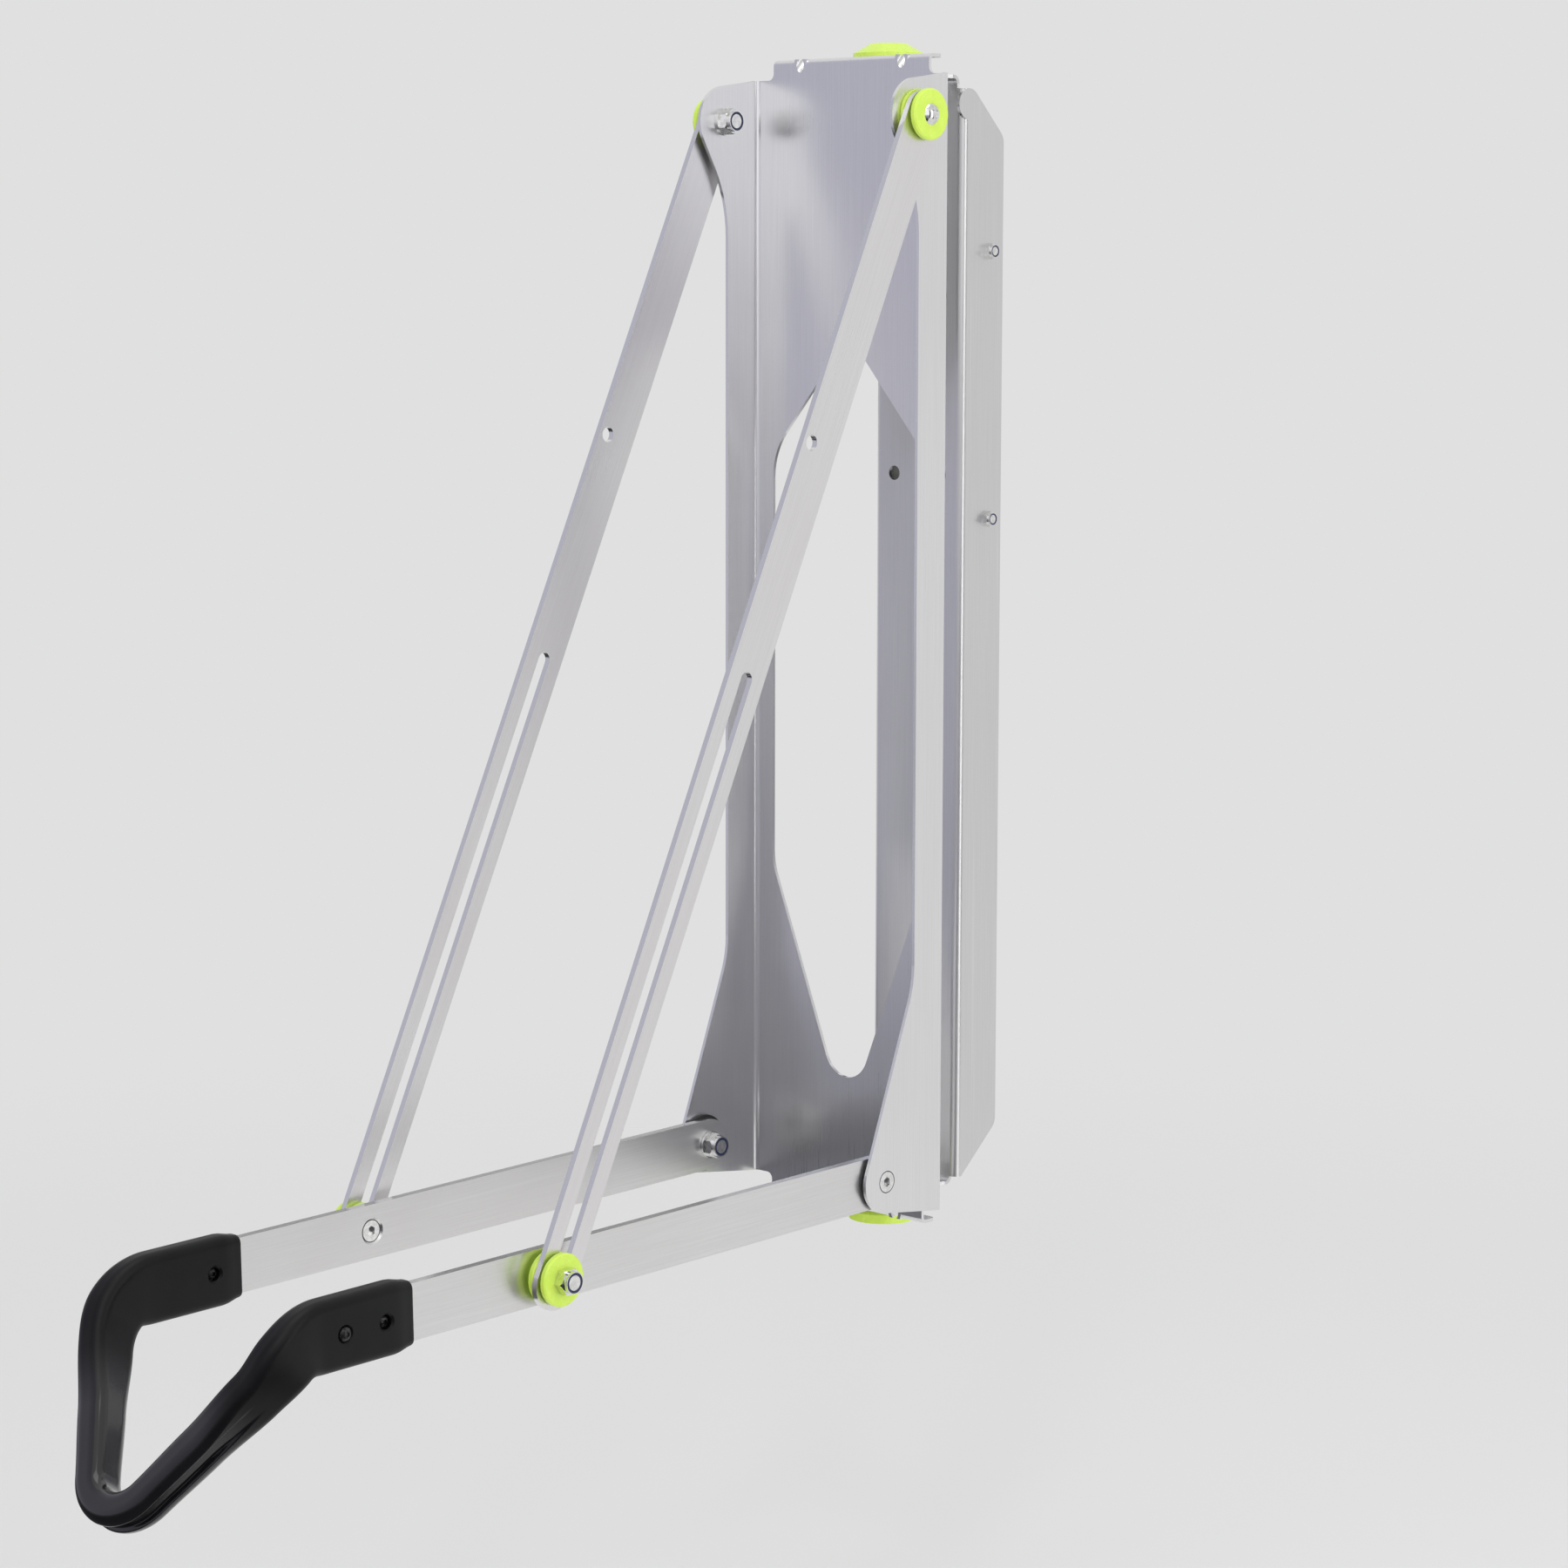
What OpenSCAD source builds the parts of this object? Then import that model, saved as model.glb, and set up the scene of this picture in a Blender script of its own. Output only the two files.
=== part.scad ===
// Folding wall rack that holds a bicycle upright by its front wheel.
// Sizes are in millimetres. +Z is up, the front faces -Y and +X is to the right.
// The origin is the middle of the wall plate's back face, on the wall.

/* [Layout] */
// Height from the arm pivots up to the strut pivots
pivot_span = 600; // [560:5:680]
// Drop of the wall plate's middle below the strut pivots
wall_drop = 152; // [140:2:200]
// Distance from the wall to the swivel axis
swivel_out = 63; // [60:1:70]
// Distance from the swivel axis to the channel's front face
web_ahead = 33; // [30:1:40]
// Angle of the lowered arms below the horizontal
arm_drop = 1.3; // [0:0.1:4]

/* [Sheet metal] */
// Thickness of the bent sheets
sheet_t = 2; // [1.5:0.1:2.5]
// Inside radius of the long folds
bend_r = 3; // [2:0.25:3.5]
// Inside radius of the folds at the channel's lips
lip_bend_r = 1.5; // [1:0.25:2]
// Radius of the eyes round the swivel bolts
swivel_eye_r = 17; // [15:0.5:18]

/* [Channel] */
// Width over the two flanges
channel_w = 150; // [146:1:160]
// Height of the web and flanges beyond each pivot line
web_over = 24; // [23:0.5:26]
// Distance of the tabs' ends from the flanges' outer faces
tab_inset = 15; // [12:0.5:20]
// Height of the lips' outer faces beyond each pivot line
lip_over = 35.4; // [34:0.1:37]
// Depth of the lips beside their tongues, from the web's front face
lip_depth = 12; // [10:0.5:14]
// Rounding of the lips' rear corners
lip_corner_r = 3; // [2:0.5:4]
// Width of the tongues where they leave the lips
tongue_w = 52; // [44:1:60]
// Fillet at the roots of the tabs
tab_fillet_r = 4; // [2:0.5:5]
// Depth of the flanges at their waist, from the web's front face
waist_depth = 24.6; // [22:0.2:26]
// Strut pivots, distance ahead of the web's front face
strut_pivot_fwd = 27; // [26:0.5:29]
// Radius of the ears round the strut pivots
strut_ear_r = 20.5; // [18:0.5:21.5]
// Lean of the edge under those ears from the vertical
ear_lean = 30; // [24:1:36]
// Radius of the blend from that edge to the waist
waist_blend_r = 80; // [50:5:90]
// Arm pivots, distance ahead of the web's front face
arm_pivot_fwd = 47; // [46:0.5:49]
// Radius of the ears round the arm pivots
arm_ear_r = 18; // [16:0.5:19]
// Height above the arm pivots at which the lower ears begin to spread
slant_up = 111; // [90:1:130]
// Radius of the blend at the start of that spread
slant_blend_r = 60; // [30:5:90]

/* [Window in the web] */
// Distance of the window's sides from the flanges' outer faces
window_inset = 15; // [12:0.5:20]
// Upper point before rounding, below the strut pivots
window_tip_drop = 122; // [100:1:140]
// Upper shoulders before rounding, below the strut pivots
window_shoulder_drop = 191; // [180:1:210]
// Lower shoulders before rounding, above the arm pivots
window_waist_up = 165; // [150:1:190]
// Lower point before rounding, above the arm pivots
window_toe_up = 14; // [8:1:24]
// Rounding of the upper point
window_tip_r = 12; // [8:1:18]
// Rounding of the shoulders
window_side_r = 40; // [20:2:50]
// Rounding of the lower point
window_toe_r = 17; // [12:1:20]

/* [Pressed darts at the lips] */
// Distance of each dart from the end of its tab
dart_inset = 21; // [15:0.5:25]
// Reach of a dart on each side of its fold
dart_len = 4.4; // [4:0.2:6]
// Radius of the groove that the dart shows outside
dart_r = 2.8; // [2:0.1:3.2]

/* [Wall bracket] */
// Width over the two wings
bracket_w = 68; // [64:1:76]
// Depth from the wall to the bracket's front face
bracket_depth = 36; // [33:1:40]
// Height of its shoulders above the strut pivots
bracket_over = 19; // [16:0.5:21]
// Drop of its lower shoulders below the arm pivots
bracket_under = 22; // [18:0.5:23]
// Distance of its tabs' ends from the wings' outer faces
bracket_tab_inset = 5; // [5:0.25:8]
// Height of its lips' outer faces beyond each pivot line
bracket_lip_over = 26.6; // [25:0.1:28]
// Fillet at the roots of its tabs
bracket_fillet_r = 2; // [1:0.25:2.5]
// Straight top edge of a wing, from the bracket's front face
wing_flat = 9; // [8:0.5:14]
// Slope of the wings' upper corners
wing_slope = 45; // [35:1:50]
// Slope of the wings' lower corners
wing_low_slope = 42; // [35:1:50]
// Rounding of the wings' corners
wing_corner_r = 9; // [5:1:12]
// Screw access holes, distance from the wings' outer faces
access_inset = 16; // [14:0.5:18]
// Radius of the screw access holes
access_r = 4.25; // [4:0.25:5]

/* [Wall plate] */
// Height of the wall plate
plate_h = 190; // [180:2:220]
// Depth of its sides from the wall
plate_depth = 24; // [20:1:26]
// Gap between its sides and the wings
plate_gap = 0.2; // [0.1:0.05:0.5]
// Radius of the wall screw holes
wall_hole_r = 3.25; // [2.5:0.25:4]
// Wall screw holes, distance from the plate's ends
screw_row_inset = 43; // [30:1:50]
// Side bolts, distance from the plate's ends
side_bolt_inset = 17; // [12:1:22]
// Side bolts, distance from the wall
side_bolt_out = 12.5; // [11:0.5:15]
// Radius of the side bolts
side_bolt_r = 2.5; // [2:0.25:3]

/* [Arms] */
// Height of the arm bars
arm_h = 30; // [26:1:33]
// Thickness of the arm bars
arm_t = 5; // [4:0.5:6]
// Slot pins, distance from the arm pivots
pin_at = 263; // [250:1:275]
// Thickness of the black washers between flanges and arms
spacer_t = 1.8; // [1.5:0.1:3]
// Radius of those washers
spacer_r = 17; // [14:0.5:17.5]

/* [Struts] */
// Width of the strut bars
strut_w = 27; // [25:0.5:30]
// Thickness of the strut bars
strut_t = 3.5; // [3:0.25:4.5]
// Gap between flanges and struts
strut_gap = 2.5; // [2:0.1:4]
// Slot width beyond the pin's diameter
slot_play = 0.6; // [0.4:0.1:1.2]
// Slot length left beyond the folded pin
slot_spare = 2.6; // [1:0.2:6]
// Length of each strut beyond its slot's lower centre
strut_tail = 17; // [16:0.5:20]
// Locking holes, distance from the strut pivots
lock_at = 200; // [180:1:220]
// Locking holes, offset towards the front edge
lock_offset = 7; // [5:0.5:7.5]
// Radius of the locking holes
lock_r = 4.3; // [3.5:0.1:4.5]

/* [Wheel loop] */
// Start of the sleeves, distance from the arm pivots
sleeve_at = 356; // [350:1:362]
// Length of the arm bars inside the sleeves
arm_in_sleeve = 56; // [52:1:60]
// Length over which a sleeve swells to its full section
sleeve_taper = 12; // [8:1:16]
// Width and height of a sleeve's end
sleeve_end_w = 11.4; // [10.5:0.2:12.5]
sleeve_end_h = 34; // [33:0.2:35]
// Width and height of a sleeve
sleeve_w = 14.4; // [13:0.2:15]
sleeve_h = 38; // [36:0.5:42]
// Bends of the loop, distance of their corners beyond the arm bars' ends
knee_beyond = 18.8; // [16:0.2:22]
// Length of a bend before its corner, and the pull of its curve there
knee_run = 17.4; // [14:0.2:18]
knee_pull = 18.6; // [12:0.2:20]
// Angle of the V below the line of the arms
vee_drop = 54.7; // [50:0.1:60]
// Length of the V from the bends' corners to its tip before rounding
vee_len = 127; // [115:1:140]
// Start of the V's narrowing, distance from the corners and inwards from the arms
vee_at = 18.4; // [14:0.2:24]
vee_in = 1.5; // [0:0.1:3]
// Length of a bend along the V, and the pull of its curve there
vee_run = 12.4; // [8:0.2:16]
vee_pull = 20.2; // [14:0.2:22]
// Radius of the loop's path at its tip
loop_tip_r = 24.8; // [20:0.2:30]
// Width and height of the bar at the bends
knee_w = 17.3; // [16:0.1:18]
knee_h = 33.8; // [30:0.2:36]
// Width and height of the bar at the start of the V
vee_w = 17; // [16:0.1:18]
vee_h = 29.9; // [26:0.2:32]
// Width and height of the bar in the V
bar_w = 18.6; // [16:0.1:20]
bar_h = 23.6; // [21:0.2:26]
// Width and height of the bar at the tip
tip_w = 17.5; // [16:0.1:19]
tip_h = 21.9; // [20:0.1:24]
// Depth of the groove round the tip
groove_d = 2.2; // [1:0.1:3]
// Half width of that groove
groove_half = 3.6; // [2.5:0.1:4]

/* [Pivots and fasteners] */
// Radius of the main bolts
bolt_r = 4; // [3.5:0.1:4.2]
// Width of a main nut across its flats
nut_af = 13; // [12:0.5:14]
// Height of a main nut with its collar
nut_h = 8; // [7:0.25:9]
// Radius and thickness of the main washers
washer_r = 8; // [7.5:0.25:9]
washer_t = 1.4; // [1:0.1:2]
// Radius and height of the round bolt heads
dome_r = 6; // [5.5:0.25:7]
dome_h = 3.3; // [2.8:0.1:4]
// Radius of the countersunk heads
csk_r = 6.4; // [6:0.1:7]
// Radius of the countersinks in the arms
csk_seat_r = 7.5; // [7.2:0.1:8]
// Radius of the green discs
disc_r = 14.2; // [13:0.1:14.5]
// Thickness of the outer green discs
disc_t = 5; // [4.5:0.1:6]
// Radius and height of the boss under a green disc
disc_boss_r = 9.5; // [8.5:0.25:11]
disc_boss_h = 1.1; // [0.8:0.1:1.6]
// Radius of the large and small faces of the swivel caps
cap_r = 20.5; // [19:0.5:22]
cap_top_r = 10.7; // [10:0.1:12]
// Height of the rim of the upper and of the lower swivel cap
cap_rim_h = 2.9; // [2:0.1:4]
low_cap_rim_h = 5.3; // [4:0.1:6]
// Height of the cones of the swivel caps
cap_cone_h = 5.6; // [5:0.1:7]
// Width of the side bolts' nuts across their flats, and their height
small_nut_af = 8; // [7:0.5:10]
small_nut_h = 5; // [4:0.25:6]
// Radius of the screws in the sleeves, at the arm and at the head
screw_r = 2.5; // [2:0.25:3]
screw_head_r = 3.6; // [3.2:0.1:4]
// Screws in the sleeves, distance from the sleeves' ends
screw_in = 19; // [16:1:24]
second_screw_in = 46; // [40:1:48]
// Hexagon sockets in the heads, across their flats
socket_af = 5; // [4:0.5:5.5]

/* [Fits] */
// Running clearance in radius between a shaft and its hole
shaft_fit = 0.05; // [0.02:0.01:0.1]
// Gap between flat faces that slide or turn on each other
face_gap = 0.2; // [0.15:0.05:0.3]
// Gap round the arm bars inside the sleeves
sleeve_fit = 0.1; // [0.05:0.05:0.2]
// Gap between the two halves of a slot pin stack
pin_gap = 0.4; // [0.3:0.05:0.6]

/* [Hidden] */
$fn = 64;
// Overrun of every cut past the face that it opens
cut = 1;
// Overlap of a fold's ends with the flat sheets beside it
fold_lap = 0.5;
// Places of the main pieces
wall_centre_up = pivot_span - wall_drop;
low_z = -wall_centre_up;
high_z = low_z + pivot_span;
web_y = -swivel_out - web_ahead;
arm_pivot_y = web_y - arm_pivot_fwd;
strut_pivot_y = web_y - strut_pivot_fwd;
fold_r = bend_r + sheet_t;
lip_fold_r = lip_bend_r + sheet_t;
half_w = channel_w / 2;
tab_w = channel_w - 2 * tab_inset;
window_w = channel_w - 2 * window_inset;
dart_x = tab_w / 2 - dart_inset;
bracket_tab_w = bracket_w - 2 * bracket_tab_inset;
access_x = bracket_w / 2 - access_inset;
access_z = plate_h / 2 - screw_row_inset;
side_bolt_z = plate_h / 2 - side_bolt_inset;
window_tip_up = pivot_span - window_tip_drop;
window_shoulder_up = pivot_span - window_shoulder_drop;
arm_end_at = sleeve_at + arm_in_sleeve;
screw_at = sleeve_at + screw_in;
second_screw_at = sleeve_at + second_screw_in;
bend_at = arm_end_at + knee_beyond;
flange_in_x = half_w - sheet_t;
arm_out_x = flange_in_x - spacer_t - face_gap;
arm_in_x = arm_out_x - arm_t;
arm_mid_x = arm_out_x - arm_t / 2;
strut_in_x = half_w + strut_gap;
strut_out_x = strut_in_x + strut_t;
// Head depth of a 90 degree countersunk bolt
csk_depth = csk_r - bolt_r;
// Parts of a lock nut and of the bolt end inside it
collar_share = 0.3;
collar_r_share = 0.46;
nut_edge_share = 0.0625;
ring_share = 0.18;
ring_wall_share = 0.22;
ring_fill_share = 0.8;
// Slot pin when the arms are down and when they are folded up, from the strut pivot
pin_down = [pin_at * cos(arm_drop) + arm_pivot_fwd - strut_pivot_fwd, pivot_span + pin_at * sin(arm_drop)];
pin_up = [arm_pivot_fwd - strut_pivot_fwd, pivot_span - pin_at];
pin_far = norm(pin_down);
pin_near = norm(pin_up);
strut_lean = atan2(pin_down[0], pin_down[1]);
slot_r = bolt_r + slot_play / 2;

// Unit vector from point a to point b
function unit(a, b) = (b - a) / norm(b - a);
// Half of the angle that corner b makes with its neighbours a and c
function half_angle(a, b, c) = acos(unit(b, a) * unit(b, c)) / 2;
// Distance from corner b to the ends of an arc of radius r that rounds it
function tangent_len(a, b, c, r) = r / tan(half_angle(a, b, c));
// Centre of that arc
function arc_centre(a, b, c, r) =
    let (mid = unit(b, a) + unit(b, c)) b + mid / norm(mid) * r / sin(half_angle(a, b, c));
// Point where a line from q touches a circle, on side 1 or -1 of the line to its centre
function touch(q, centre, r, side) =
    let (d = norm(centre - q), turn = side * asin(r / d), u = unit(q, centre))
    q + sqrt(d * d - r * r) * [u[0] * cos(turn) - u[1] * sin(turn), u[0] * sin(turn) + u[1] * cos(turn)];

// Convex outline with a rounding at each corner that has a radius
module rounded_polygon(points, radii) {
    n = len(points);
    polygon([for (i = [0:n - 1])
        let (a = points[(i + n - 1) % n], b = points[i], c = points[(i + 1) % n],
            t = radii[i] > 0 ? tangent_len(a, b, c, radii[i]) : 0)
        each (t > 0 ? [b + unit(b, a) * t, b + unit(b, c) * t] : [b])]);
    for (i = [0:n - 1])
        if (radii[i] > 0)
            translate(arc_centre(points[(i + n - 1) % n], points[i], points[(i + 1) % n], radii[i]))
                circle(r = radii[i]);
}

// Fills the inside corner at b between a and c with a hollow arc
module corner_fill(a, b, c, r) {
    t = tangent_len(a, b, c, r);
    difference() {
        polygon([b, b + unit(b, a) * t, arc_centre(a, b, c, r), b + unit(b, c) * t]);
        translate(arc_centre(a, b, c, r)) circle(r = r);
    }
}

// Quarter ring of a folded sheet in the quadrant given by sx and sy, with a lap at each end
module fold_section(inner, sx, sy) {
    outer = inner + sheet_t;
    intersection() {
        difference() {
            circle(r = outer);
            circle(r = inner);
        }
        translate([sx > 0 ? 0 : -outer, sy > 0 ? 0 : -outer]) square(outer);
    }
    translate([sx > 0 ? inner : -outer, sy > 0 ? -fold_lap : 0]) square([sheet_t, fold_lap]);
    translate([sx > 0 ? -fold_lap : 0, sy > 0 ? inner : -outer]) square([fold_lap, sheet_t]);
}

// Sheet whose outline is drawn in Y and Z, from x0 outwards along +X
module side_sheet(x0, thickness) {
    translate([x0, 0, 0]) rotate([90, 0, 90]) linear_extrude(height = thickness) children();
}

// Sheet whose outline is drawn in X and Z, from y0 towards +Y
module front_sheet(y0, thickness) {
    translate([0, y0 + thickness, 0]) rotate([90, 0, 0]) linear_extrude(height = thickness) children();
}

// Cylinder along +X from x0 to x1
module x_rod(y, z, x0, x1, r) {
    translate([x0, y, z]) rotate([0, 90, 0]) cylinder(h = x1 - x0, r = r);
}

// Cone along +X from radius r0 at x0 to r1 at x1
module x_cone(y, z, x0, x1, r0, r1) {
    translate([x0, y, z]) rotate([0, 90, 0]) cylinder(h = x1 - x0, r1 = r0, r2 = r1);
}

// The same piece on the left and on the right
module both_sides() {
    children();
    mirror([1, 0, 0]) children();
}

// Frame with its origin on the web's front face at the height of the arm pivots
module channel_frame() {
    translate([0, web_y, low_z]) children();
}

// The same end at the top and at the bottom of the channel
module both_ends() {
    children();
    translate([0, 0, pivot_span]) mirror([0, 0, 1]) children();
}

// Frame of the lowered arms: origin at the arm pivots, arms along -Y
module arm_frame() {
    translate([0, arm_pivot_y, low_z]) rotate([arm_drop, 0, 0]) children();
}

// Frame of the struts at rest: origin at the strut pivots, struts along -Z
module strut_frame() {
    translate([0, strut_pivot_y, high_z]) rotate([-strut_lean, 0, 0]) children();
}

// Outline of the window in X and Z
module window_outline() {
    w = window_w / 2;
    rounded_polygon(
        [[0, window_tip_up], [w, window_shoulder_up], [w, window_waist_up],
            [0, window_toe_up], [-w, window_waist_up], [-w, window_shoulder_up]],
        [window_tip_r, window_side_r, window_side_r, window_toe_r, window_side_r, window_side_r]);
}

// Outline of the flat web with its two tabs, in X and Z
module web_outline() {
    flat_w = channel_w - 2 * fold_r;
    tab_flat = lip_over - lip_fold_r;
    translate([-flat_w / 2, -web_over]) square([flat_w, pivot_span + 2 * web_over]);
    translate([-tab_w / 2, -tab_flat]) square([tab_w, pivot_span + 2 * tab_flat]);
    for (side = [-1, 1])
        for (end = [[-web_over, -1], [pivot_span + web_over, 1]])
            corner_fill([side * (tab_w / 2 + tab_fillet_r), end[0]], [side * tab_w / 2, end[0]],
                [side * tab_w / 2, end[0] + end[1] * tab_fillet_r], tab_fillet_r);
}

// Outline of a flange in Y and Z, from the fold to its two ears
module flange_outline() {
    top_ear = [-strut_pivot_fwd, pivot_span];
    low_ear = [-arm_pivot_fwd, 0];
    top_rear = [-bend_r, pivot_span + web_over];
    low_rear = [-bend_r, -web_over];
    ear_edge = top_ear - strut_ear_r * [cos(ear_lean), sin(ear_lean)];
    run = (-waist_depth - ear_edge[0]) / sin(ear_lean);
    waist_top = ear_edge + run * [sin(ear_lean), -cos(ear_lean)];
    waist_low = [-waist_depth, slant_up];
    low_touch = touch(waist_low, low_ear, arm_ear_r, -1);
    polygon([top_rear, touch(top_rear, top_ear, strut_ear_r, -1), top_ear, ear_edge, waist_top,
        waist_low, low_touch, low_ear, touch(low_rear, low_ear, arm_ear_r, 1), low_rear]);
    translate(top_ear) circle(r = strut_ear_r);
    translate(low_ear) circle(r = arm_ear_r);
    corner_fill(ear_edge, waist_top, waist_low, waist_blend_r);
    corner_fill(waist_top, waist_low, low_touch, slant_blend_r);
}

// Lip and tongue at the channel's top, in X and Y
module lip_outline() {
    w = tab_w / 2;
    eye = [0, web_ahead];
    root = [tongue_w / 2, lip_depth];
    rounded_polygon([[-w, lip_fold_r], [w, lip_fold_r], [w, lip_depth], [-w, lip_depth]],
        [0, 0, lip_corner_r, lip_corner_r]);
    polygon([[-root[0], lip_fold_r], [root[0], lip_fold_r], root, touch(root, eye, swivel_eye_r, -1), eye,
        touch([-root[0], root[1]], eye, swivel_eye_r, 1), [-root[0], root[1]]]);
    translate(eye) circle(r = swivel_eye_r);
}

// Dart pressed across the fold of the top lip, drawn with the radius of its inside or outside
module dart(r) {
    reach = 2 * dart_len;
    chord_z = pivot_span + lip_over - dart_len / 2;
    shift = dart_r / 3;
    for (side = [-1, 1])
        translate([side * dart_x, dart_len / 2 - shift / 2, chord_z + shift / 2]) rotate([-45, 0, 0])
            cylinder(h = 2 * reach, r = r, center = true);
}

// Folded lip with its darts' backs, at the channel's top
module top_lip() {
    lip_z = pivot_span + lip_over;
    side_sheet(-tab_w / 2, tab_w)
        translate([lip_fold_r, lip_z - lip_fold_r]) fold_section(lip_bend_r, -1, 1);
    translate([0, 0, lip_z - sheet_t]) linear_extrude(height = sheet_t) lip_outline();
    intersection() {
        dart(dart_r + sheet_t);
        translate([-tab_w / 2, 0, lip_z - 2 * dart_len]) cube([tab_w, 2 * dart_len, 2 * dart_len]);
    }
}

module front_channel() {
    color("silver") channel_frame() difference() {
        union() {
            front_sheet(0, sheet_t) web_outline();
            both_sides() {
                translate([half_w - fold_r, -bend_r, -web_over])
                    linear_extrude(height = pivot_span + 2 * web_over) fold_section(bend_r, 1, 1);
                side_sheet(flange_in_x, sheet_t) flange_outline();
            }
            both_ends() top_lip();
        }
        front_sheet(-cut, sheet_t + 2 * cut) window_outline();
        both_ends() {
            dart(dart_r);
            translate([0, web_ahead, pivot_span + lip_over - sheet_t - cut])
                cylinder(h = sheet_t + 2 * cut, r = bolt_r + shaft_fit);
        }
        both_sides() {
            x_rod(-strut_pivot_fwd, pivot_span, flange_in_x - cut, half_w + cut, bolt_r + shaft_fit);
            x_rod(-arm_pivot_fwd, 0, flange_in_x - cut, half_w + cut, bolt_r + shaft_fit);
            x_cone(-arm_pivot_fwd, 0, half_w - csk_depth - shaft_fit, half_w, bolt_r, csk_r + shaft_fit);
        }
    }
}

// Outline of a wing in Y and Z, from the bracket's front face at Y = 0
module wing_outline() {
    top_z = pivot_span + bracket_over;
    rounded_polygon(
        [[fold_r, -bracket_under], [fold_r, top_z], [wing_flat, top_z],
            [bracket_depth, top_z - (bracket_depth - wing_flat) * tan(wing_slope)],
            [bracket_depth, (bracket_depth - fold_r) * tan(wing_low_slope) - bracket_under]],
        [0, 0, wing_corner_r, wing_corner_r, wing_corner_r]);
}

// Outline of the bracket's tongue in X and Y, from its fold to the swivel
module bracket_tongue() {
    w = bracket_tab_w / 2;
    eye = [0, bracket_depth - swivel_out];
    polygon([[-w, -bend_r], [w, -bend_r], touch([w, -bend_r], eye, swivel_eye_r, 1), eye,
        touch([-w, -bend_r], eye, swivel_eye_r, -1)]);
    translate(eye) circle(r = swivel_eye_r);
}

module wall_bracket() {
    flat_w = bracket_w - 2 * fold_r;
    tab_flat = bracket_lip_over - fold_r;
    height = pivot_span + bracket_over + bracket_under;
    color("silver") translate([0, -bracket_depth, low_z]) difference() {
        union() {
            front_sheet(0, sheet_t) {
                translate([-flat_w / 2, -bracket_under]) square([flat_w, height]);
                translate([-bracket_tab_w / 2, -tab_flat])
                    square([bracket_tab_w, pivot_span + 2 * tab_flat]);
            }
            both_sides() {
                translate([bracket_w / 2 - fold_r, fold_r, -bracket_under])
                    linear_extrude(height = height) fold_section(bend_r, 1, -1);
                side_sheet(bracket_w / 2 - sheet_t, sheet_t) wing_outline();
            }
            both_ends() {
                side_sheet(-bracket_tab_w / 2, bracket_tab_w)
                    translate([-bend_r, pivot_span + tab_flat]) fold_section(bend_r, 1, 1);
                translate([0, 0, pivot_span + bracket_lip_over - sheet_t])
                    linear_extrude(height = sheet_t) bracket_tongue();
            }
        }
        both_ends() translate([0, bracket_depth - swivel_out, pivot_span + bracket_lip_over - sheet_t - cut])
            cylinder(h = sheet_t + 2 * cut, r = bolt_r + shaft_fit);
        for (x = [-access_x, access_x])
            for (z = [-access_z, access_z])
                translate([x, -cut, wall_centre_up + z]) rotate([-90, 0, 0])
                    cylinder(h = sheet_t + 2 * cut, r = access_r);
        both_sides() for (z = [-side_bolt_z, side_bolt_z])
            x_rod(bracket_depth - side_bolt_out, wall_centre_up + z, bracket_w / 2 - sheet_t - cut,
                bracket_w / 2 + cut, side_bolt_r + shaft_fit);
    }
}

// Flat channel screwed to the wall, with its sides inside the wings
module wall_plate() {
    outer = bracket_w / 2 - sheet_t - plate_gap;
    color("gainsboro") difference() {
        union() {
            translate([fold_r - outer, -sheet_t, -plate_h / 2]) cube([2 * (outer - fold_r), sheet_t, plate_h]);
            both_sides() {
                translate([outer - fold_r, -fold_r, -plate_h / 2])
                    linear_extrude(height = plate_h) fold_section(bend_r, 1, 1);
                translate([outer - sheet_t, -plate_depth, -plate_h / 2])
                    cube([sheet_t, plate_depth - fold_r, plate_h]);
            }
        }
        for (x = [-access_x, access_x])
            for (z = [-access_z, access_z])
                translate([x, cut, z]) rotate([90, 0, 0]) cylinder(h = sheet_t + 2 * cut, r = wall_hole_r);
        both_sides() for (z = [-side_bolt_z, side_bolt_z])
            x_rod(-side_bolt_out, z, outer - sheet_t - cut, outer + cut, side_bolt_r + shaft_fit);
    }
}

// Hexagon of a given width across flats, along +Z
module hexagon(af, h) {
    cylinder(h = h, r = af / 2 / cos(30), $fn = 6);
}

// Domed bolt head with a hexagon socket, standing up from Z = 0
module dome_head(r, h, socket) {
    ball_r = (r * r + h * h) / (2 * h);
    difference() {
        intersection() {
            translate([0, 0, h - ball_r]) sphere(r = ball_r);
            cylinder(h = h, r = r);
        }
        translate([0, 0, h / 2]) hexagon(socket, h);
    }
}

// Lock nut with a collar that holds a plastic ring, standing up from Z = 0
module lock_nut(af, h, bore) {
    collar_h = h * collar_share;
    collar_r = af * collar_r_share;
    difference() {
        union() {
            intersection() {
                hexagon(af, h - collar_h);
                translate([0, 0, -af / 2])
                    cylinder(h = af / 2 + h - collar_h + af * nut_edge_share, r1 = af, r2 = af / 2);
            }
            cylinder(h = h, r = collar_r);
        }
        translate([0, 0, -cut]) cylinder(h = h + 2 * cut, r = bore);
        translate([0, 0, h * (1 - ring_share)]) cylinder(h = h, r = bore + af * ring_wall_share / 2);
    }
}

// Plastic ring in the collar of a lock nut
module nut_ring(af, h, bore) {
    translate([0, 0, h * (1 - ring_share)]) difference() {
        cylinder(h = h * ring_share * ring_fill_share, r = bore + af * ring_wall_share / 2);
        translate([0, 0, -cut]) cylinder(h = h + 2 * cut, r = bore);
    }
}

// Stands a piece drawn along +Z on a point of the right side, pointing along +X or -X
module along_x(x, y, z, outwards) {
    translate([x, y, z]) rotate([0, outwards ? 90 : -90, 0]) children();
}

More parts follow.
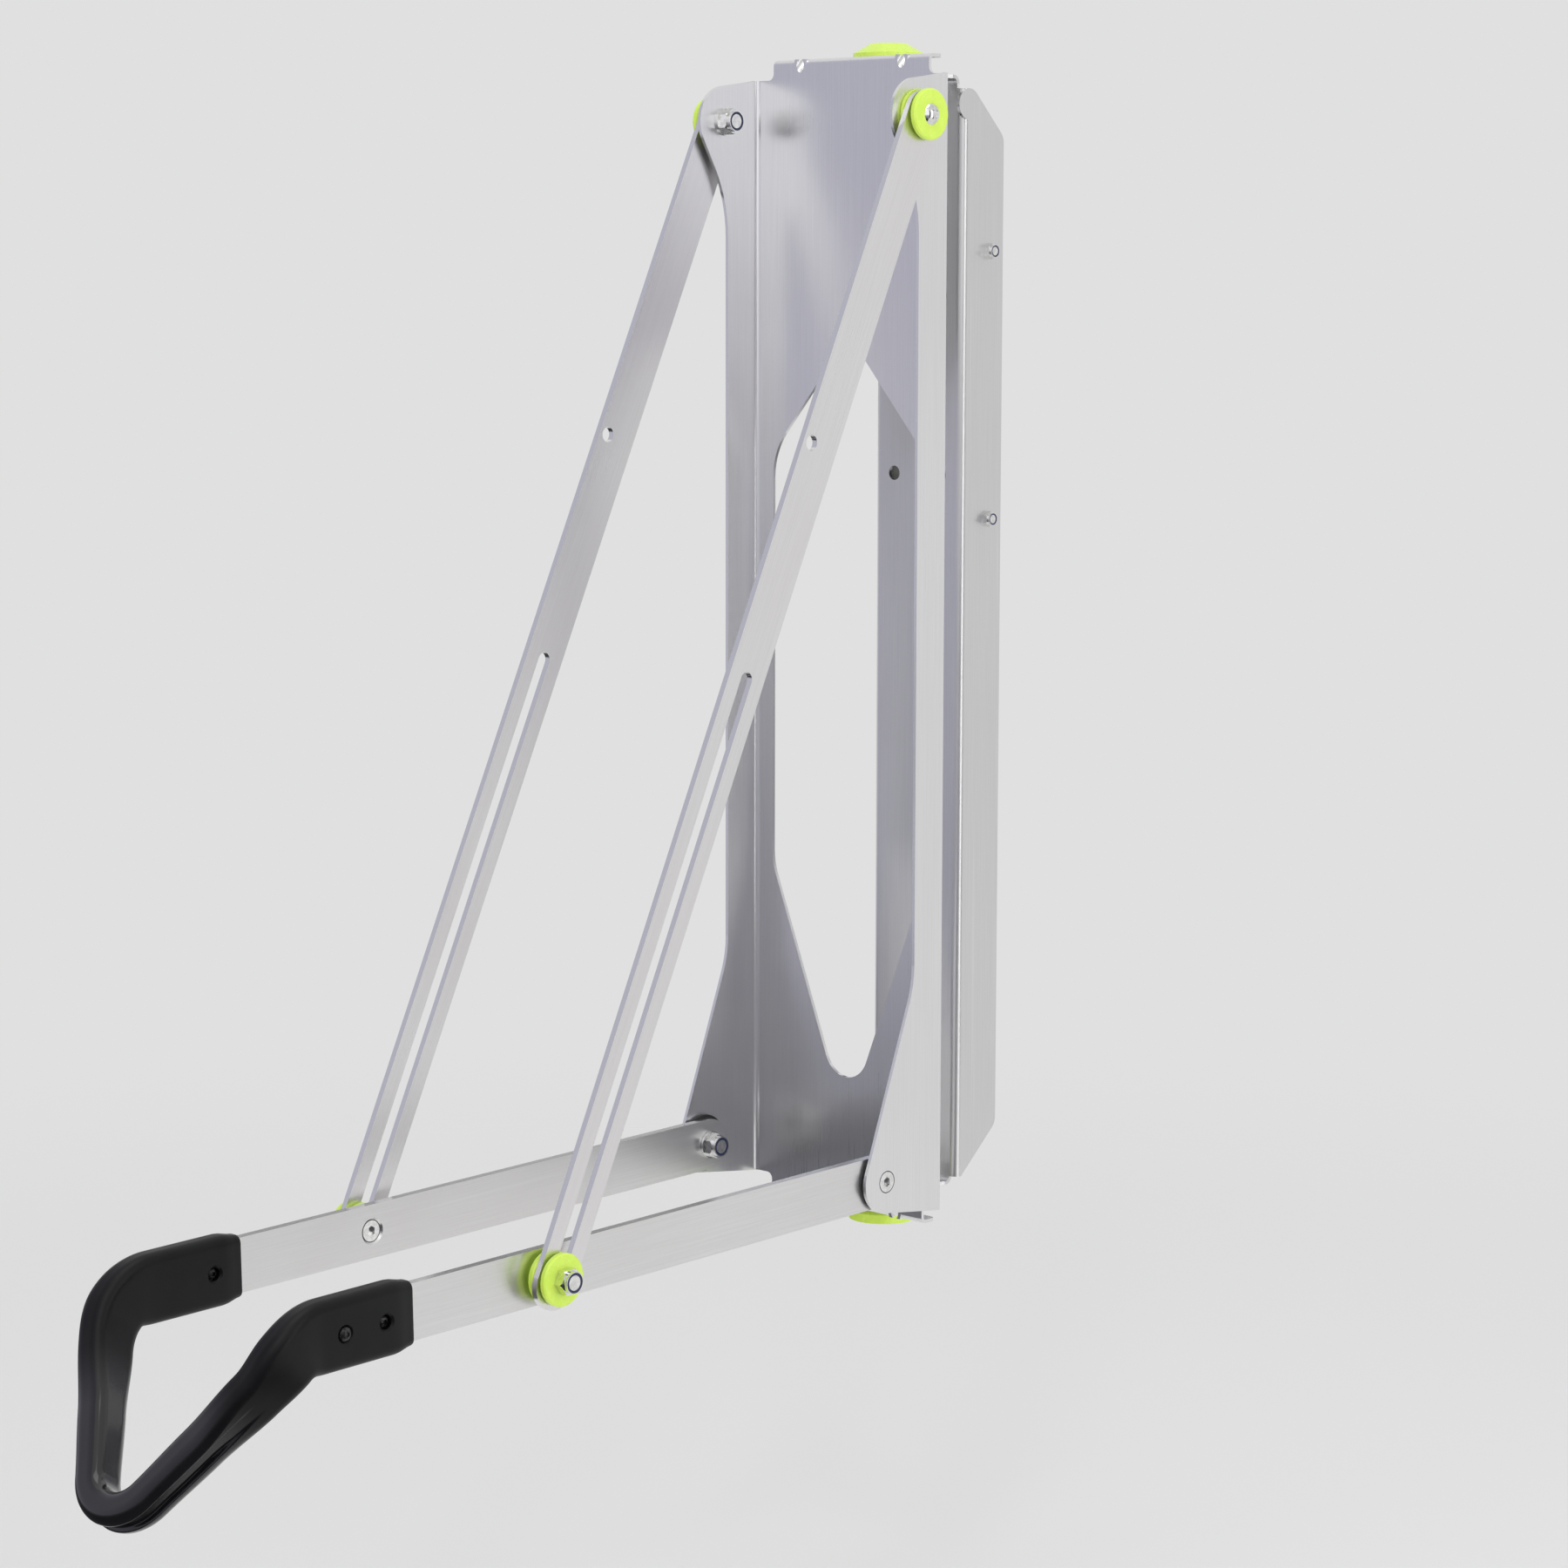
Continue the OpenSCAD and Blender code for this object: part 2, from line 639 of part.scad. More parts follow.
// Side bolts between the wall plate and the wings
module at_side_bolts() {
    both_sides() for (z = [-side_bolt_z, side_bolt_z])
        translate([0, -side_bolt_out, z]) children();
}

module side_bolts() {
    inner = bracket_w / 2 - 2 * sheet_t - plate_gap;
    color("lightgray") at_side_bolts() {
        x_rod(0, 0, inner, bracket_w / 2 + small_nut_h - face_gap, side_bolt_r);
        along_x(inner, 0, 0, false) dome_head(2 * side_bolt_r, side_bolt_r, side_bolt_r);
    }
}

module side_nuts() {
    color("lightgray") at_side_bolts()
        along_x(bracket_w / 2, 0, 0, true) lock_nut(small_nut_af, small_nut_h, side_bolt_r);
}

module side_nut_rings() {
    color("midnightblue") at_side_bolts()
        along_x(bracket_w / 2, 0, 0, true) nut_ring(small_nut_af, small_nut_h, side_bolt_r);
}

// Upper and lower swivel, each drawn outwards from the arm or strut pivot line
module at_swivels() {
    translate([0, -swivel_out, high_z]) children(0);
    translate([0, -swivel_out, low_z]) mirror([0, 0, 1]) children($children - 1);
}

cap_at = lip_over + face_gap;
// Floor of a cap, on which the bolt's head sits
cap_floor_h = (cap_rim_h + cap_cone_h) / 2;

// Swivel bolt, from its head in the cap down to its nut
module swivel_bolt() {
    head_at = cap_at + cap_floor_h;
    tail_at = bracket_lip_over - sheet_t - washer_t - nut_h + face_gap;
    translate([0, 0, tail_at]) cylinder(h = head_at - tail_at, r = bolt_r);
    translate([0, 0, head_at]) dome_head(dome_r, dome_h, socket_af);
}

module swivel_bolts() {
    color("lightgray") at_swivels() swivel_bolt();
}

// Nut and washer under the bracket's tongue, as seen from outside
module swivel_nuts() {
    color("lightgray") at_swivels() translate([0, 0, bracket_lip_over - sheet_t]) mirror([0, 0, 1]) {
        difference() {
            cylinder(h = washer_t, r = washer_r);
            translate([0, 0, -cut]) cylinder(h = washer_t + 2 * cut, r = bolt_r);
        }
        translate([0, 0, washer_t]) lock_nut(nut_af, nut_h, bolt_r);
    }
}

module swivel_nut_rings() {
    color("midnightblue") at_swivels() translate([0, 0, bracket_lip_over - sheet_t - washer_t])
        mirror([0, 0, 1]) nut_ring(nut_af, nut_h, bolt_r);
}

// Plain green disc between the bracket's tongue and the channel's lip
module swivel_discs() {
    gap = lip_over - sheet_t - bracket_lip_over - face_gap;
    color("greenyellow") at_swivels() translate([0, 0, bracket_lip_over]) difference() {
        cylinder(h = gap, r = swivel_eye_r);
        translate([0, 0, -cut]) cylinder(h = gap + 2 * cut, r = bolt_r);
    }
}

// Turned green cap with a rim, a cone and a recess for the bolt head
module swivel_cap(rim_h, rim_first) {
    cap_h = rim_h + cap_cone_h;
    outside = rim_first ? [[bolt_r, 0], [cap_r, 0], [cap_r, rim_h], [cap_top_r, cap_h]]
        : [[bolt_r, 0], [cap_top_r, 0], [cap_r, cap_cone_h], [cap_r, cap_h]];
    recess = [[dome_r + cut, cap_h], [dome_r + cut, cap_floor_h], [bolt_r, cap_floor_h]];
    translate([0, 0, cap_at]) rotate_extrude() polygon(concat(outside, recess));
}

module swivel_caps() {
    color("greenyellow") at_swivels() {
        swivel_cap(cap_rim_h, true);
        swivel_cap(low_cap_rim_h, false);
    }
}

// Frame of the strut pivots on both sides
module at_strut_pivots() {
    both_sides() translate([0, strut_pivot_y, high_z]) children();
}

module strut_pivot_bolts() {
    head_x = strut_out_x + face_gap + disc_t;
    tail_x = flange_in_x - washer_t - nut_h + face_gap;
    color("lightgray") at_strut_pivots() {
        x_rod(0, 0, tail_x, head_x, bolt_r);
        along_x(head_x, 0, 0, true) dome_head(dome_r, dome_h, socket_af);
    }
}

// Flat washer drawn along +Z
module washer() {
    difference() {
        cylinder(h = washer_t, r = washer_r);
        translate([0, 0, -cut]) cylinder(h = washer_t + 2 * cut, r = bolt_r);
    }
}

module strut_pivot_washers() {
    color("lightgray") at_strut_pivots() along_x(flange_in_x, 0, 0, false) washer();
}

module strut_pivot_nuts() {
    color("lightgray") at_strut_pivots()
        along_x(flange_in_x - washer_t, 0, 0, false) lock_nut(nut_af, nut_h, bolt_r);
}

module strut_pivot_nut_rings() {
    color("midnightblue") at_strut_pivots()
        along_x(flange_in_x - washer_t, 0, 0, false) nut_ring(nut_af, nut_h, bolt_r);
}

// Green disc with a boss below its rim, drawn along +Z
module boss_disc(boss_h, t) {
    edge = disc_t / 6;
    rotate_extrude() polygon([[bolt_r, 0], [disc_boss_r, 0], [disc_boss_r, boss_h], [disc_r - edge, boss_h],
        [disc_r, boss_h + edge], [disc_r, t - edge], [disc_r - edge, t], [bolt_r, t]]);
}

module strut_inner_discs() {
    t = strut_gap - face_gap;
    edge = t / 4;
    color("greenyellow") at_strut_pivots() along_x(half_w, 0, 0, true)
        rotate_extrude() polygon([[bolt_r, 0], [disc_r - edge, 0], [disc_r, edge], [disc_r, t], [bolt_r, t]]);
}

module strut_outer_discs() {
    color("greenyellow") at_strut_pivots()
        along_x(strut_out_x + face_gap, 0, 0, true) boss_disc(disc_boss_h, disc_t);
}

// Frame of the arm pivots on both sides
module at_arm_pivots() {
    both_sides() translate([0, arm_pivot_y, low_z]) children();
}

// Countersunk bolt along -X from its flush head, with a hexagon socket
module csk_bolt(head_x, tail_x) {
    difference() {
        union() {
            x_rod(0, 0, tail_x, head_x - csk_depth, bolt_r);
            x_cone(0, 0, head_x - csk_depth, head_x, bolt_r, csk_r);
        }
        along_x(head_x - csk_depth, 0, 0, true) hexagon(socket_af, csk_depth + cut);
    }
}

module arm_pivot_bolts() {
    color("lightgray") at_arm_pivots()
        csk_bolt(half_w, arm_in_x - face_gap - washer_t - nut_h + face_gap);
}

module arm_spacers() {
    color([0.08, 0.08, 0.09]) at_arm_pivots() difference() {
        x_rod(0, 0, arm_out_x + face_gap, flange_in_x, spacer_r);
        x_rod(0, 0, arm_out_x - cut, flange_in_x + cut, bolt_r);
        x_cone(0, 0, half_w - csk_depth - shaft_fit, half_w, bolt_r, csk_r + shaft_fit);
    }
}

module arm_pivot_washers() {
    color("lightgray") at_arm_pivots() along_x(arm_in_x - face_gap, 0, 0, false) washer();
}

module arm_pivot_nuts() {
    color("lightgray") at_arm_pivots()
        along_x(arm_in_x - face_gap - washer_t, 0, 0, false) lock_nut(nut_af, nut_h, bolt_r);
}

module arm_pivot_nut_rings() {
    color("midnightblue") at_arm_pivots()
        along_x(arm_in_x - face_gap - washer_t, 0, 0, false) nut_ring(nut_af, nut_h, bolt_r);
}

// Flat arm bar on the right, with a round end at its pivot
module arm_bar() {
    color("silver") arm_frame() difference() {
        union() {
            x_rod(0, 0, arm_in_x, arm_out_x, arm_h / 2);
            translate([arm_in_x, -arm_end_at, -arm_h / 2]) cube([arm_t, arm_end_at, arm_h]);
        }
        x_rod(0, 0, arm_in_x - cut, arm_out_x + cut, bolt_r + shaft_fit);
        x_rod(-pin_at, 0, arm_in_x - cut, arm_out_x + cut, bolt_r + shaft_fit);
        x_cone(-pin_at, 0, arm_in_x - cut, arm_in_x + csk_seat_r - bolt_r, csk_seat_r + cut, bolt_r);
        x_rod(-screw_at, 0, arm_in_x - cut, arm_out_x + cut, screw_r + shaft_fit);
        x_rod(-second_screw_at, 0, arm_in_x - cut, arm_out_x + cut, screw_r + shaft_fit);
    }
}

module arm_right() {
    arm_bar();
}

module arm_left() {
    mirror([1, 0, 0]) arm_bar();
}

// Arm side of a slot pin: countersunk bolt through the arm
module slot_bolts() {
    head_x = arm_in_x + csk_seat_r - csk_r - shaft_fit;
    color("lightgray") both_sides() arm_frame() translate([0, -pin_at, 0]) difference() {
        union() {
            x_cone(0, 0, head_x, head_x + csk_depth, csk_r, bolt_r);
            x_rod(0, 0, head_x + csk_depth, strut_in_x - pin_gap, bolt_r);
        }
        along_x(head_x + csk_depth, 0, 0, false) hexagon(socket_af, csk_depth + cut);
    }
}

module slot_inner_discs() {
    t = strut_in_x - pin_gap - arm_out_x;
    color("greenyellow") both_sides() arm_frame() translate([0, -pin_at, 0])
        along_x(arm_out_x, 0, 0, true) boss_disc(t - disc_t + disc_boss_h, t);
}

// Flat strut bar on the right, with its slot and locking hole
module strut_bar() {
    low = -pin_far;
    high = -(pin_near - slot_spare);
    end_r = strut_w / 2;
    color("silver") strut_frame() side_sheet(strut_in_x, strut_t) difference() {
        union() {
            circle(r = end_r);
            translate([0, low - strut_tail + end_r]) circle(r = end_r);
            translate([-end_r, low - strut_tail + end_r])
                square([strut_w, strut_tail - end_r - low]);
        }
        circle(r = bolt_r + shaft_fit);
        translate([-lock_offset, -lock_at]) circle(r = lock_r);
        translate([0, high]) circle(r = slot_r);
        translate([0, low]) circle(r = slot_r);
        translate([-slot_r, low]) square([2 * slot_r, high - low]);
    }
}

module strut_right() {
    strut_bar();
}

module strut_left() {
    mirror([1, 0, 0]) strut_bar();
}

// Strut side of a slot pin on the right: shank in the slot
module slide_pin() {
    color("lightgray") strut_frame()
        x_rod(0, -pin_far, strut_in_x, strut_out_x + face_gap + disc_t + nut_h - face_gap, bolt_r);
}

module slide_disc() {
    color("greenyellow") strut_frame()
        along_x(strut_out_x + face_gap, 0, -pin_far, true) boss_disc(disc_boss_h, disc_t);
}

module slide_nut() {
    color("lightgray") strut_frame()
        along_x(strut_out_x + face_gap + disc_t, 0, -pin_far, true) lock_nut(nut_af, nut_h, bolt_r);
}

module slide_nut_ring() {
    color("midnightblue") strut_frame()
        along_x(strut_out_x + face_gap + disc_t, 0, -pin_far, true) nut_ring(nut_af, nut_h, bolt_r);
}

module slide_pin_right() {
    slide_pin();
}

module slide_pin_left() {
    mirror([1, 0, 0]) slide_pin();
}

module slide_disc_right() {
    slide_disc();
}

module slide_disc_left() {
    mirror([1, 0, 0]) slide_disc();
}

module slide_nut_right() {
    slide_nut();
}

module slide_nut_left() {
    mirror([1, 0, 0]) slide_nut();
}

module slide_nut_ring_right() {
    slide_nut_ring();
}

module slide_nut_ring_left() {
    mirror([1, 0, 0]) slide_nut_ring();
}

// Path of the moulded loop in the frame of the arms, from the right sleeve to the tip
vee = [0, -cos(vee_drop), -sin(vee_drop)];
loop_start = [arm_mid_x, -sleeve_at, 0];
knee_from = [arm_mid_x, knee_run - bend_at, 0];
vee_start = [arm_mid_x - vee_in, -bend_at, 0] + vee_at * vee;
loop_tip = [0, -bend_at, 0] + vee_len * vee;
vee_line = unit(vee_start, loop_tip);
knee_to = vee_start + vee_run * vee_line;
far_knee = [-knee_to[0], knee_to[1], knee_to[2]];
// Point at share k of a bend, on a curve drawn from its two ends and their pulls
function knee_point(k) =
    pow(1 - k, 3) * knee_from + 3 * pow(1 - k, 2) * k * (knee_from - [0, knee_pull, 0])
    + 3 * (1 - k) * k * k * (knee_to - vee_pull * vee_line) + pow(k, 3) * knee_to;
// Point at share k of the arc that rounds corner b of a path
function arc_point(a, b, c, r, k) =
    let (o = arc_centre(a, b, c, r), t = tangent_len(a, b, c, r),
        u = unit(o, b + unit(b, a) * t), v = unit(o, b + unit(b, c) * t), turn = acos(u * v))
    o + r * (sin((1 - k) * turn) * u + sin(k * turn) * v) / sin(turn);
function tip_point(k) = arc_point(knee_to, loop_tip, far_knee, loop_tip_r, k);
sleeve_full = loop_start - [0, sleeve_taper, 0];
// Shares of the sleeve's end, the sleeve, the bend, the straight bar and half of the tip
taper_shares = [0, 0.33, 0.67];
sleeve_shares = [0, 0.33, 0.67];
knee_shares = [0, 0.1, 0.2, 0.3, 0.4, 0.5, 0.6, 0.7, 0.8, 0.9];
bar_shares = [0, 0.18, 0.35, 0.5, 0.66, 0.83];
tip_shares = [0, 0.07, 0.14, 0.21, 0.28, 0.36, 0.43];
right_path = concat(
    [for (k = taper_shares) loop_start + (sleeve_full - loop_start) * k],
    [for (k = sleeve_shares) sleeve_full + (knee_from - sleeve_full) * k],
    [for (k = knee_shares) knee_point(k)],
    [for (k = bar_shares) knee_to + (tip_point(0) - knee_to) * k],
    [for (k = tip_shares) tip_point(k)]);
half_count = len(right_path);
loop_path = concat(right_path, [tip_point(0.5)],
    [for (i = [half_count - 1:-1:0]) [-right_path[i][0], right_path[i][1], right_path[i][2]]]);
loop_count = len(loop_path);
// Length of the path up to each of its points, counted from the right sleeve
loop_runs = [for (i = 0, run = 0; i < loop_count; i = i + 1,
    run = i < loop_count ? run + norm(loop_path[i] - loop_path[i - 1]) : run) run];
function run_at(i) = min(loop_runs[i], loop_runs[loop_count - 1] - loop_runs[i]);
knee_from_i = len(taper_shares) + len(sleeve_shares);
knee_to_i = knee_from_i + len(knee_shares);
tip_from_i = knee_to_i + len(bar_shares);
// Runs at which the section is given, and its width and height there
section_runs = [0, sleeve_taper, loop_runs[knee_from_i], loop_runs[knee_from_i + len(knee_shares) / 2],
    loop_runs[knee_to_i], (loop_runs[knee_to_i] + loop_runs[tip_from_i]) / 2, loop_runs[tip_from_i],
    loop_runs[half_count]];
section_widths = [sleeve_end_w, sleeve_w, sleeve_w, knee_w, vee_w, bar_w, tip_w, tip_w];
section_heights = [sleeve_end_h, sleeve_h, sleeve_h, knee_h, vee_h, bar_h, tip_h, tip_h];
// Smooth step from 0 to 1
function ease(t) = let (c = max(0, min(1, t))) c * c * (3 - 2 * c);
// Smooth step as the run goes from a to b
function step_over(run, a, b) = ease((run - a) / (b - a));
// Value at a run, eased from each given section to the next
function section_value(values, run) =
    let (n = len(section_runs), i = max([for (k = [0:n - 2]) run >= section_runs[k] ? k : 0]))
    values[i] + (values[i + 1] - values[i]) * step_over(run, section_runs[i], section_runs[i + 1]);
function section_w(i) = section_value(section_widths, run_at(i));
function section_h(i) = section_value(section_heights, run_at(i));
function vee_share(i) = step_over(run_at(i), section_runs[2], section_runs[4]);
function groove_share(i) = step_over(run_at(i), section_runs[4], section_runs[5]);
function direction(i) = unit(loop_path[max(0, i - 1)], loop_path[min(loop_count - 1, i + 1)]);
// Upright of a section: across the arms at the sleeves and across the V in the bars
function upright(i) =
    let (turn = vee_drop * vee_share(i), n = [0, -sin(turn), cos(turn)], t = direction(i),
        flat = n - t * (n * t))
    flat / norm(flat);
function outward(i) = cross(upright(i), direction(i));
// Quarter round of a section's corner at (x, z), in five points
corner_turns = [0, 22.5, 45, 67.5, 90];
corner_share = 0.36;
function corner(x, z, r, from) = [for (a = corner_turns) [x + r * cos(from + a), z + r * sin(from + a)]];
// One section of the loop: outer face with its groove first, then round the back
function section(w, h, g) =
    let (r = min(w, h) * corner_share, x = w / 2, z = h / 2, gh = min(groove_half, z - r - groove_d))
    concat([[x, -gh - groove_d / 2], [x - g, -gh + groove_d / 2], [x - g, gh - groove_d / 2], [x, gh + groove_d / 2]],
        corner(x - r, z - r, r, 0), corner(r - x, z - r, r, 90), corner(r - x, r - z, r, 180),
        corner(x - r, r - z, r, 270));
ring_count = 24;
loop_points = [for (i = [0:loop_count - 1])
    for (p = section(section_w(i), section_h(i), groove_d * groove_share(i)))
        loop_path[i] + outward(i) * p[0] + upright(i) * p[1]];
loop_sides = [for (i = [0:loop_count - 2]) for (j = [0:ring_count - 1])
    let (a = i * ring_count + j, b = i * ring_count + (j + 1) % ring_count)
    each [[a, b, b + ring_count], [a, b + ring_count, a + ring_count]]];
// The end faces start at the back of a section, away from the points that lie in one line
cap_from = 14;
cap_order = [for (j = [0:ring_count - 1]) (j + cap_from) % ring_count];
loop_caps = [[for (j = [ring_count - 1:-1:0]) cap_order[j]], [for (j = cap_order) (loop_count - 1) * ring_count + j]];

module wheel_loop() {
    color([0.06, 0.06, 0.07]) arm_frame() difference() {
        polyhedron(points = loop_points, faces = concat(loop_sides, loop_caps), convexity = 6);
        both_sides() {
            translate([arm_in_x - sleeve_fit, -arm_end_at - sleeve_fit, -arm_h / 2 - sleeve_fit])
                cube([arm_t + 2 * sleeve_fit, arm_end_at, arm_h + 2 * sleeve_fit]);
            x_rod(-screw_at, 0, arm_in_x - sleeve_w, arm_out_x + sleeve_w, screw_head_r + shaft_fit);
            x_rod(-second_screw_at, 0, arm_out_x, arm_out_x + sleeve_w, screw_head_r + shaft_fit);
        }
    }
}

// Height of a sunk screw head as a share of a sleeve's wall
sunk_share = 0.7;
// Screws that hold the arms in the sleeves, two on each side
module loop_screws() {
    depth = (sleeve_w - arm_t) / 2;
    sunk = depth * sunk_share;
    color([0.12, 0.12, 0.13]) both_sides() arm_frame() {
        translate([0, -screw_at, 0]) {
            x_rod(0, 0, arm_in_x, arm_out_x, screw_r);
            along_x(arm_out_x, 0, 0, true) dome_head(screw_head_r, sunk, screw_r);
            along_x(arm_in_x, 0, 0, false) dome_head(screw_head_r, sunk, screw_r);
        }
        translate([0, -second_screw_at, 0]) {
            x_rod(0, 0, arm_in_x, arm_out_x, screw_r);
            along_x(arm_out_x, 0, 0, true) {
                cylinder(h = depth, r = screw_head_r);
                translate([0, 0, depth]) dome_head(screw_head_r, sunk / 2, screw_r);
            }
        }
    }
}

wall_plate();
wall_bracket();
side_bolts();
side_nuts();
side_nut_rings();
swivel_bolts();
swivel_nuts();
swivel_nut_rings();
swivel_discs();
swivel_caps();
front_channel();
strut_pivot_bolts();
strut_pivot_washers();
strut_pivot_nuts();
strut_pivot_nut_rings();
strut_inner_discs();
strut_outer_discs();
arm_pivot_bolts();
arm_spacers();
arm_pivot_washers();
arm_pivot_nuts();
arm_pivot_nut_rings();
arm_left();
arm_right();
wheel_loop();
loop_screws();
slot_bolts();
slot_inner_discs();
strut_left();
strut_right();
slide_pin_left();
slide_pin_right();
slide_disc_left();
slide_disc_right();
slide_nut_left();
slide_nut_right();
slide_nut_ring_left();
slide_nut_ring_right();
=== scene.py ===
import math

import bmesh
import bpy
import numpy as np
from mathutils import Matrix, Vector


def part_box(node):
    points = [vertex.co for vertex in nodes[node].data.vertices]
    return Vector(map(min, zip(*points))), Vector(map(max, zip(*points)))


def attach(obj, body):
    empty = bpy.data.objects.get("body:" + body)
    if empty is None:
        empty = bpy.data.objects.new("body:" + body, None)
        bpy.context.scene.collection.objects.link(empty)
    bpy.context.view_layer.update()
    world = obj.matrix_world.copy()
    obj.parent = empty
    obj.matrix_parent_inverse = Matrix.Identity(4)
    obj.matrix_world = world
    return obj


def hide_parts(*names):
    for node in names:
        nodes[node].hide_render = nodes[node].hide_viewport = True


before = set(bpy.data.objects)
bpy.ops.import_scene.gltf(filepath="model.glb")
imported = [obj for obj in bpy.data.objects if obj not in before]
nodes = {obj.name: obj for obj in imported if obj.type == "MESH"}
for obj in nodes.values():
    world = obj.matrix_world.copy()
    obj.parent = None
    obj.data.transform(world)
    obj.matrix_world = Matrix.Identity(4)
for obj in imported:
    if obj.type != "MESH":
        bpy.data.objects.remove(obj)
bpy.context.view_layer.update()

# Camera
# The photograph's camera: a long lens, a little above the arms and to the
# right, solved from the pivots, edges and nuts of the real rack.
AZIMUTH, ELEVATION, ROLL = 43.4, 7.38, 0.11
LENS_MM, SENSOR_MM = 89.793, 36.0
CAMERA_AT = (1.52919, -1.76669, 0.06257)
NEAREST, FARTHEST = 0.05, 40.0
turn, rise = math.radians(AZIMUTH), math.radians(ELEVATION)
back = Vector((math.sin(turn) * math.cos(rise), -math.cos(turn) * math.cos(rise), math.sin(rise)))
side = Vector((math.cos(turn), math.sin(turn), 0.0))
up = back.cross(side)
camera = bpy.data.objects.new("camera", bpy.data.cameras.new("camera"))
camera.data.sensor_fit = "HORIZONTAL"
camera.data.sensor_width = SENSOR_MM
camera.data.lens = LENS_MM
camera.data.clip_start, camera.data.clip_end = NEAREST, FARTHEST
camera.matrix_world = (Matrix.Translation(CAMERA_AT)
                       @ Matrix((side, up, back)).transposed().to_4x4()
                       @ Matrix.Rotation(math.radians(ROLL), 4, "Z"))
bpy.context.collection.objects.link(camera)
bpy.context.scene.camera = camera


# Front channel
# One sheet of 2 mm satin stainless, cut out and folded, whose end lips turn
# on the bracket's swivel bolts. The mill's grain runs up the sheet, and the
# cut edges of the window and flanges carry a painted highlight: a lighter
# colour than the faces that stands in for the light they catch.
def add_node(tree, kind, inputs=None, **settings):
    """Adds a shader node. Settings are its properties, inputs are values or other nodes' outputs."""
    node = tree.nodes.new("ShaderNode" + kind)
    for name, value in settings.items():
        setattr(node, name, value)
    for key, value in (inputs or {}).items():
        if isinstance(value, bpy.types.NodeSocket):
            tree.links.new(value, node.inputs[key])
        else:
            node.inputs[key].default_value = value
    return node


def calc(tree, operation, *values):
    """One step of arithmetic on values or sockets."""
    return add_node(tree, "Math", dict(enumerate(values)), operation=operation).outputs[0]


def ramp(tree, value, low, high, at_low=0.0, at_high=1.0):
    """Goes smoothly from at_low to at_high while value goes from low to high."""
    return add_node(tree, "MapRange", {"Value": value, "From Min": low, "From Max": high,
                                       "To Min": at_low, "To Max": at_high},
                    interpolation_type="SMOOTHSTEP").outputs["Result"]


def noise(tree, place, waves, detail, **more):
    """Cloudy noise of so many waves per metre. Most of its values lie in NOISE_RANGE."""
    return add_node(tree, "TexNoise", {"Vector": place, "Scale": waves, "Detail": detail, **more}).outputs[0]


def two_tone(tree, share, first, second):
    """Colour that goes from first to second as share goes from 0 to 1."""
    return add_node(tree, "Mix", {0: share, 6: first, 7: second}, data_type="RGBA").outputs[2]


def opaque(colour):
    """Colour of three numbers as one of four."""
    return (*colour, 1.0)


def new_group(name, takes, gives):
    """Empty effect group with its named inputs (kind, first value) and named outputs."""
    group = bpy.data.node_groups.new(name, "ShaderNodeTree")
    for label, (kind, value) in takes.items():
        socket = group.interface.new_socket(label, in_out="INPUT", socket_type="NodeSocket" + kind)
        socket.default_value = value
    for label, kind in gives.items():
        group.interface.new_socket(label, in_out="OUTPUT", socket_type="NodeSocket" + kind)
    return group, group.nodes.new("NodeGroupInput").outputs, group.nodes.new("NodeGroupOutput").inputs


NOISE_RANGE = (0.3, 0.7)

# Brushed grain: noise stretched along the sheet's rolling direction, with
# slow cloudiness and a few long fine scratches. The fine noise has its lines
# per metre along each axis in its place, so its own scale is 1.
SCRATCH_SPREAD, SCRATCH_RANGE = 0.23, (0.66, 0.74)
brushed_grain, taken, given = new_group(
    "brushed_grain",
    {"Vector": ("Vector", (0, 0, 0)), "Lines per metre": ("Vector", (900, 900, 20)),
     "Clouds per metre": ("Float", 8.0)},
    {"Grain": "Float", "Clouds": "Float", "Scratches": "Float"})
drawn = add_node(brushed_grain, "VectorMath", {0: taken["Vector"], 1: taken["Lines per metre"]},
                 operation="MULTIPLY").outputs[0]
fine = noise(brushed_grain, drawn, 1.0, detail=3.0, Roughness=0.7)
cloud = noise(brushed_grain, taken["Vector"], taken["Clouds per metre"], detail=2.0)
sparse = add_node(brushed_grain, "VectorMath", {0: drawn, 3: SCRATCH_SPREAD}, operation="SCALE").outputs[0]
lines = noise(brushed_grain, sparse, 1.0, detail=1.0)
brushed_grain.links.new(fine, given["Grain"])
brushed_grain.links.new(ramp(brushed_grain, cloud, *NOISE_RANGE), given["Clouds"])
brushed_grain.links.new(ramp(brushed_grain, lines, *SCRATCH_RANGE), given["Scratches"])

# Cut edge: 1 where the surface turns away from every axis across the sheet,
# by how much of the normal lies along those axes. It places the painted
# highlight of the cut edges.
ALL_EDGE, NO_EDGE = 0.6, 0.9
cut_edge, taken, given = new_group(
    "cut_edge", {"Normal": ("Vector", (0, 0, 1)), "Across": ("Vector", (1, 0, 0))}, {"Edge": "Float"})
bare = add_node(cut_edge, "VectorMath", {0: taken["Normal"]}, operation="ABSOLUTE").outputs[0]
facing = add_node(cut_edge, "VectorMath", {0: bare, 1: taken["Across"]},
                  operation="DOT_PRODUCT").outputs["Value"]
cut_edge.links.new(ramp(cut_edge, facing, ALL_EDGE, NO_EDGE, 1.0, 0.0), given["Edge"])

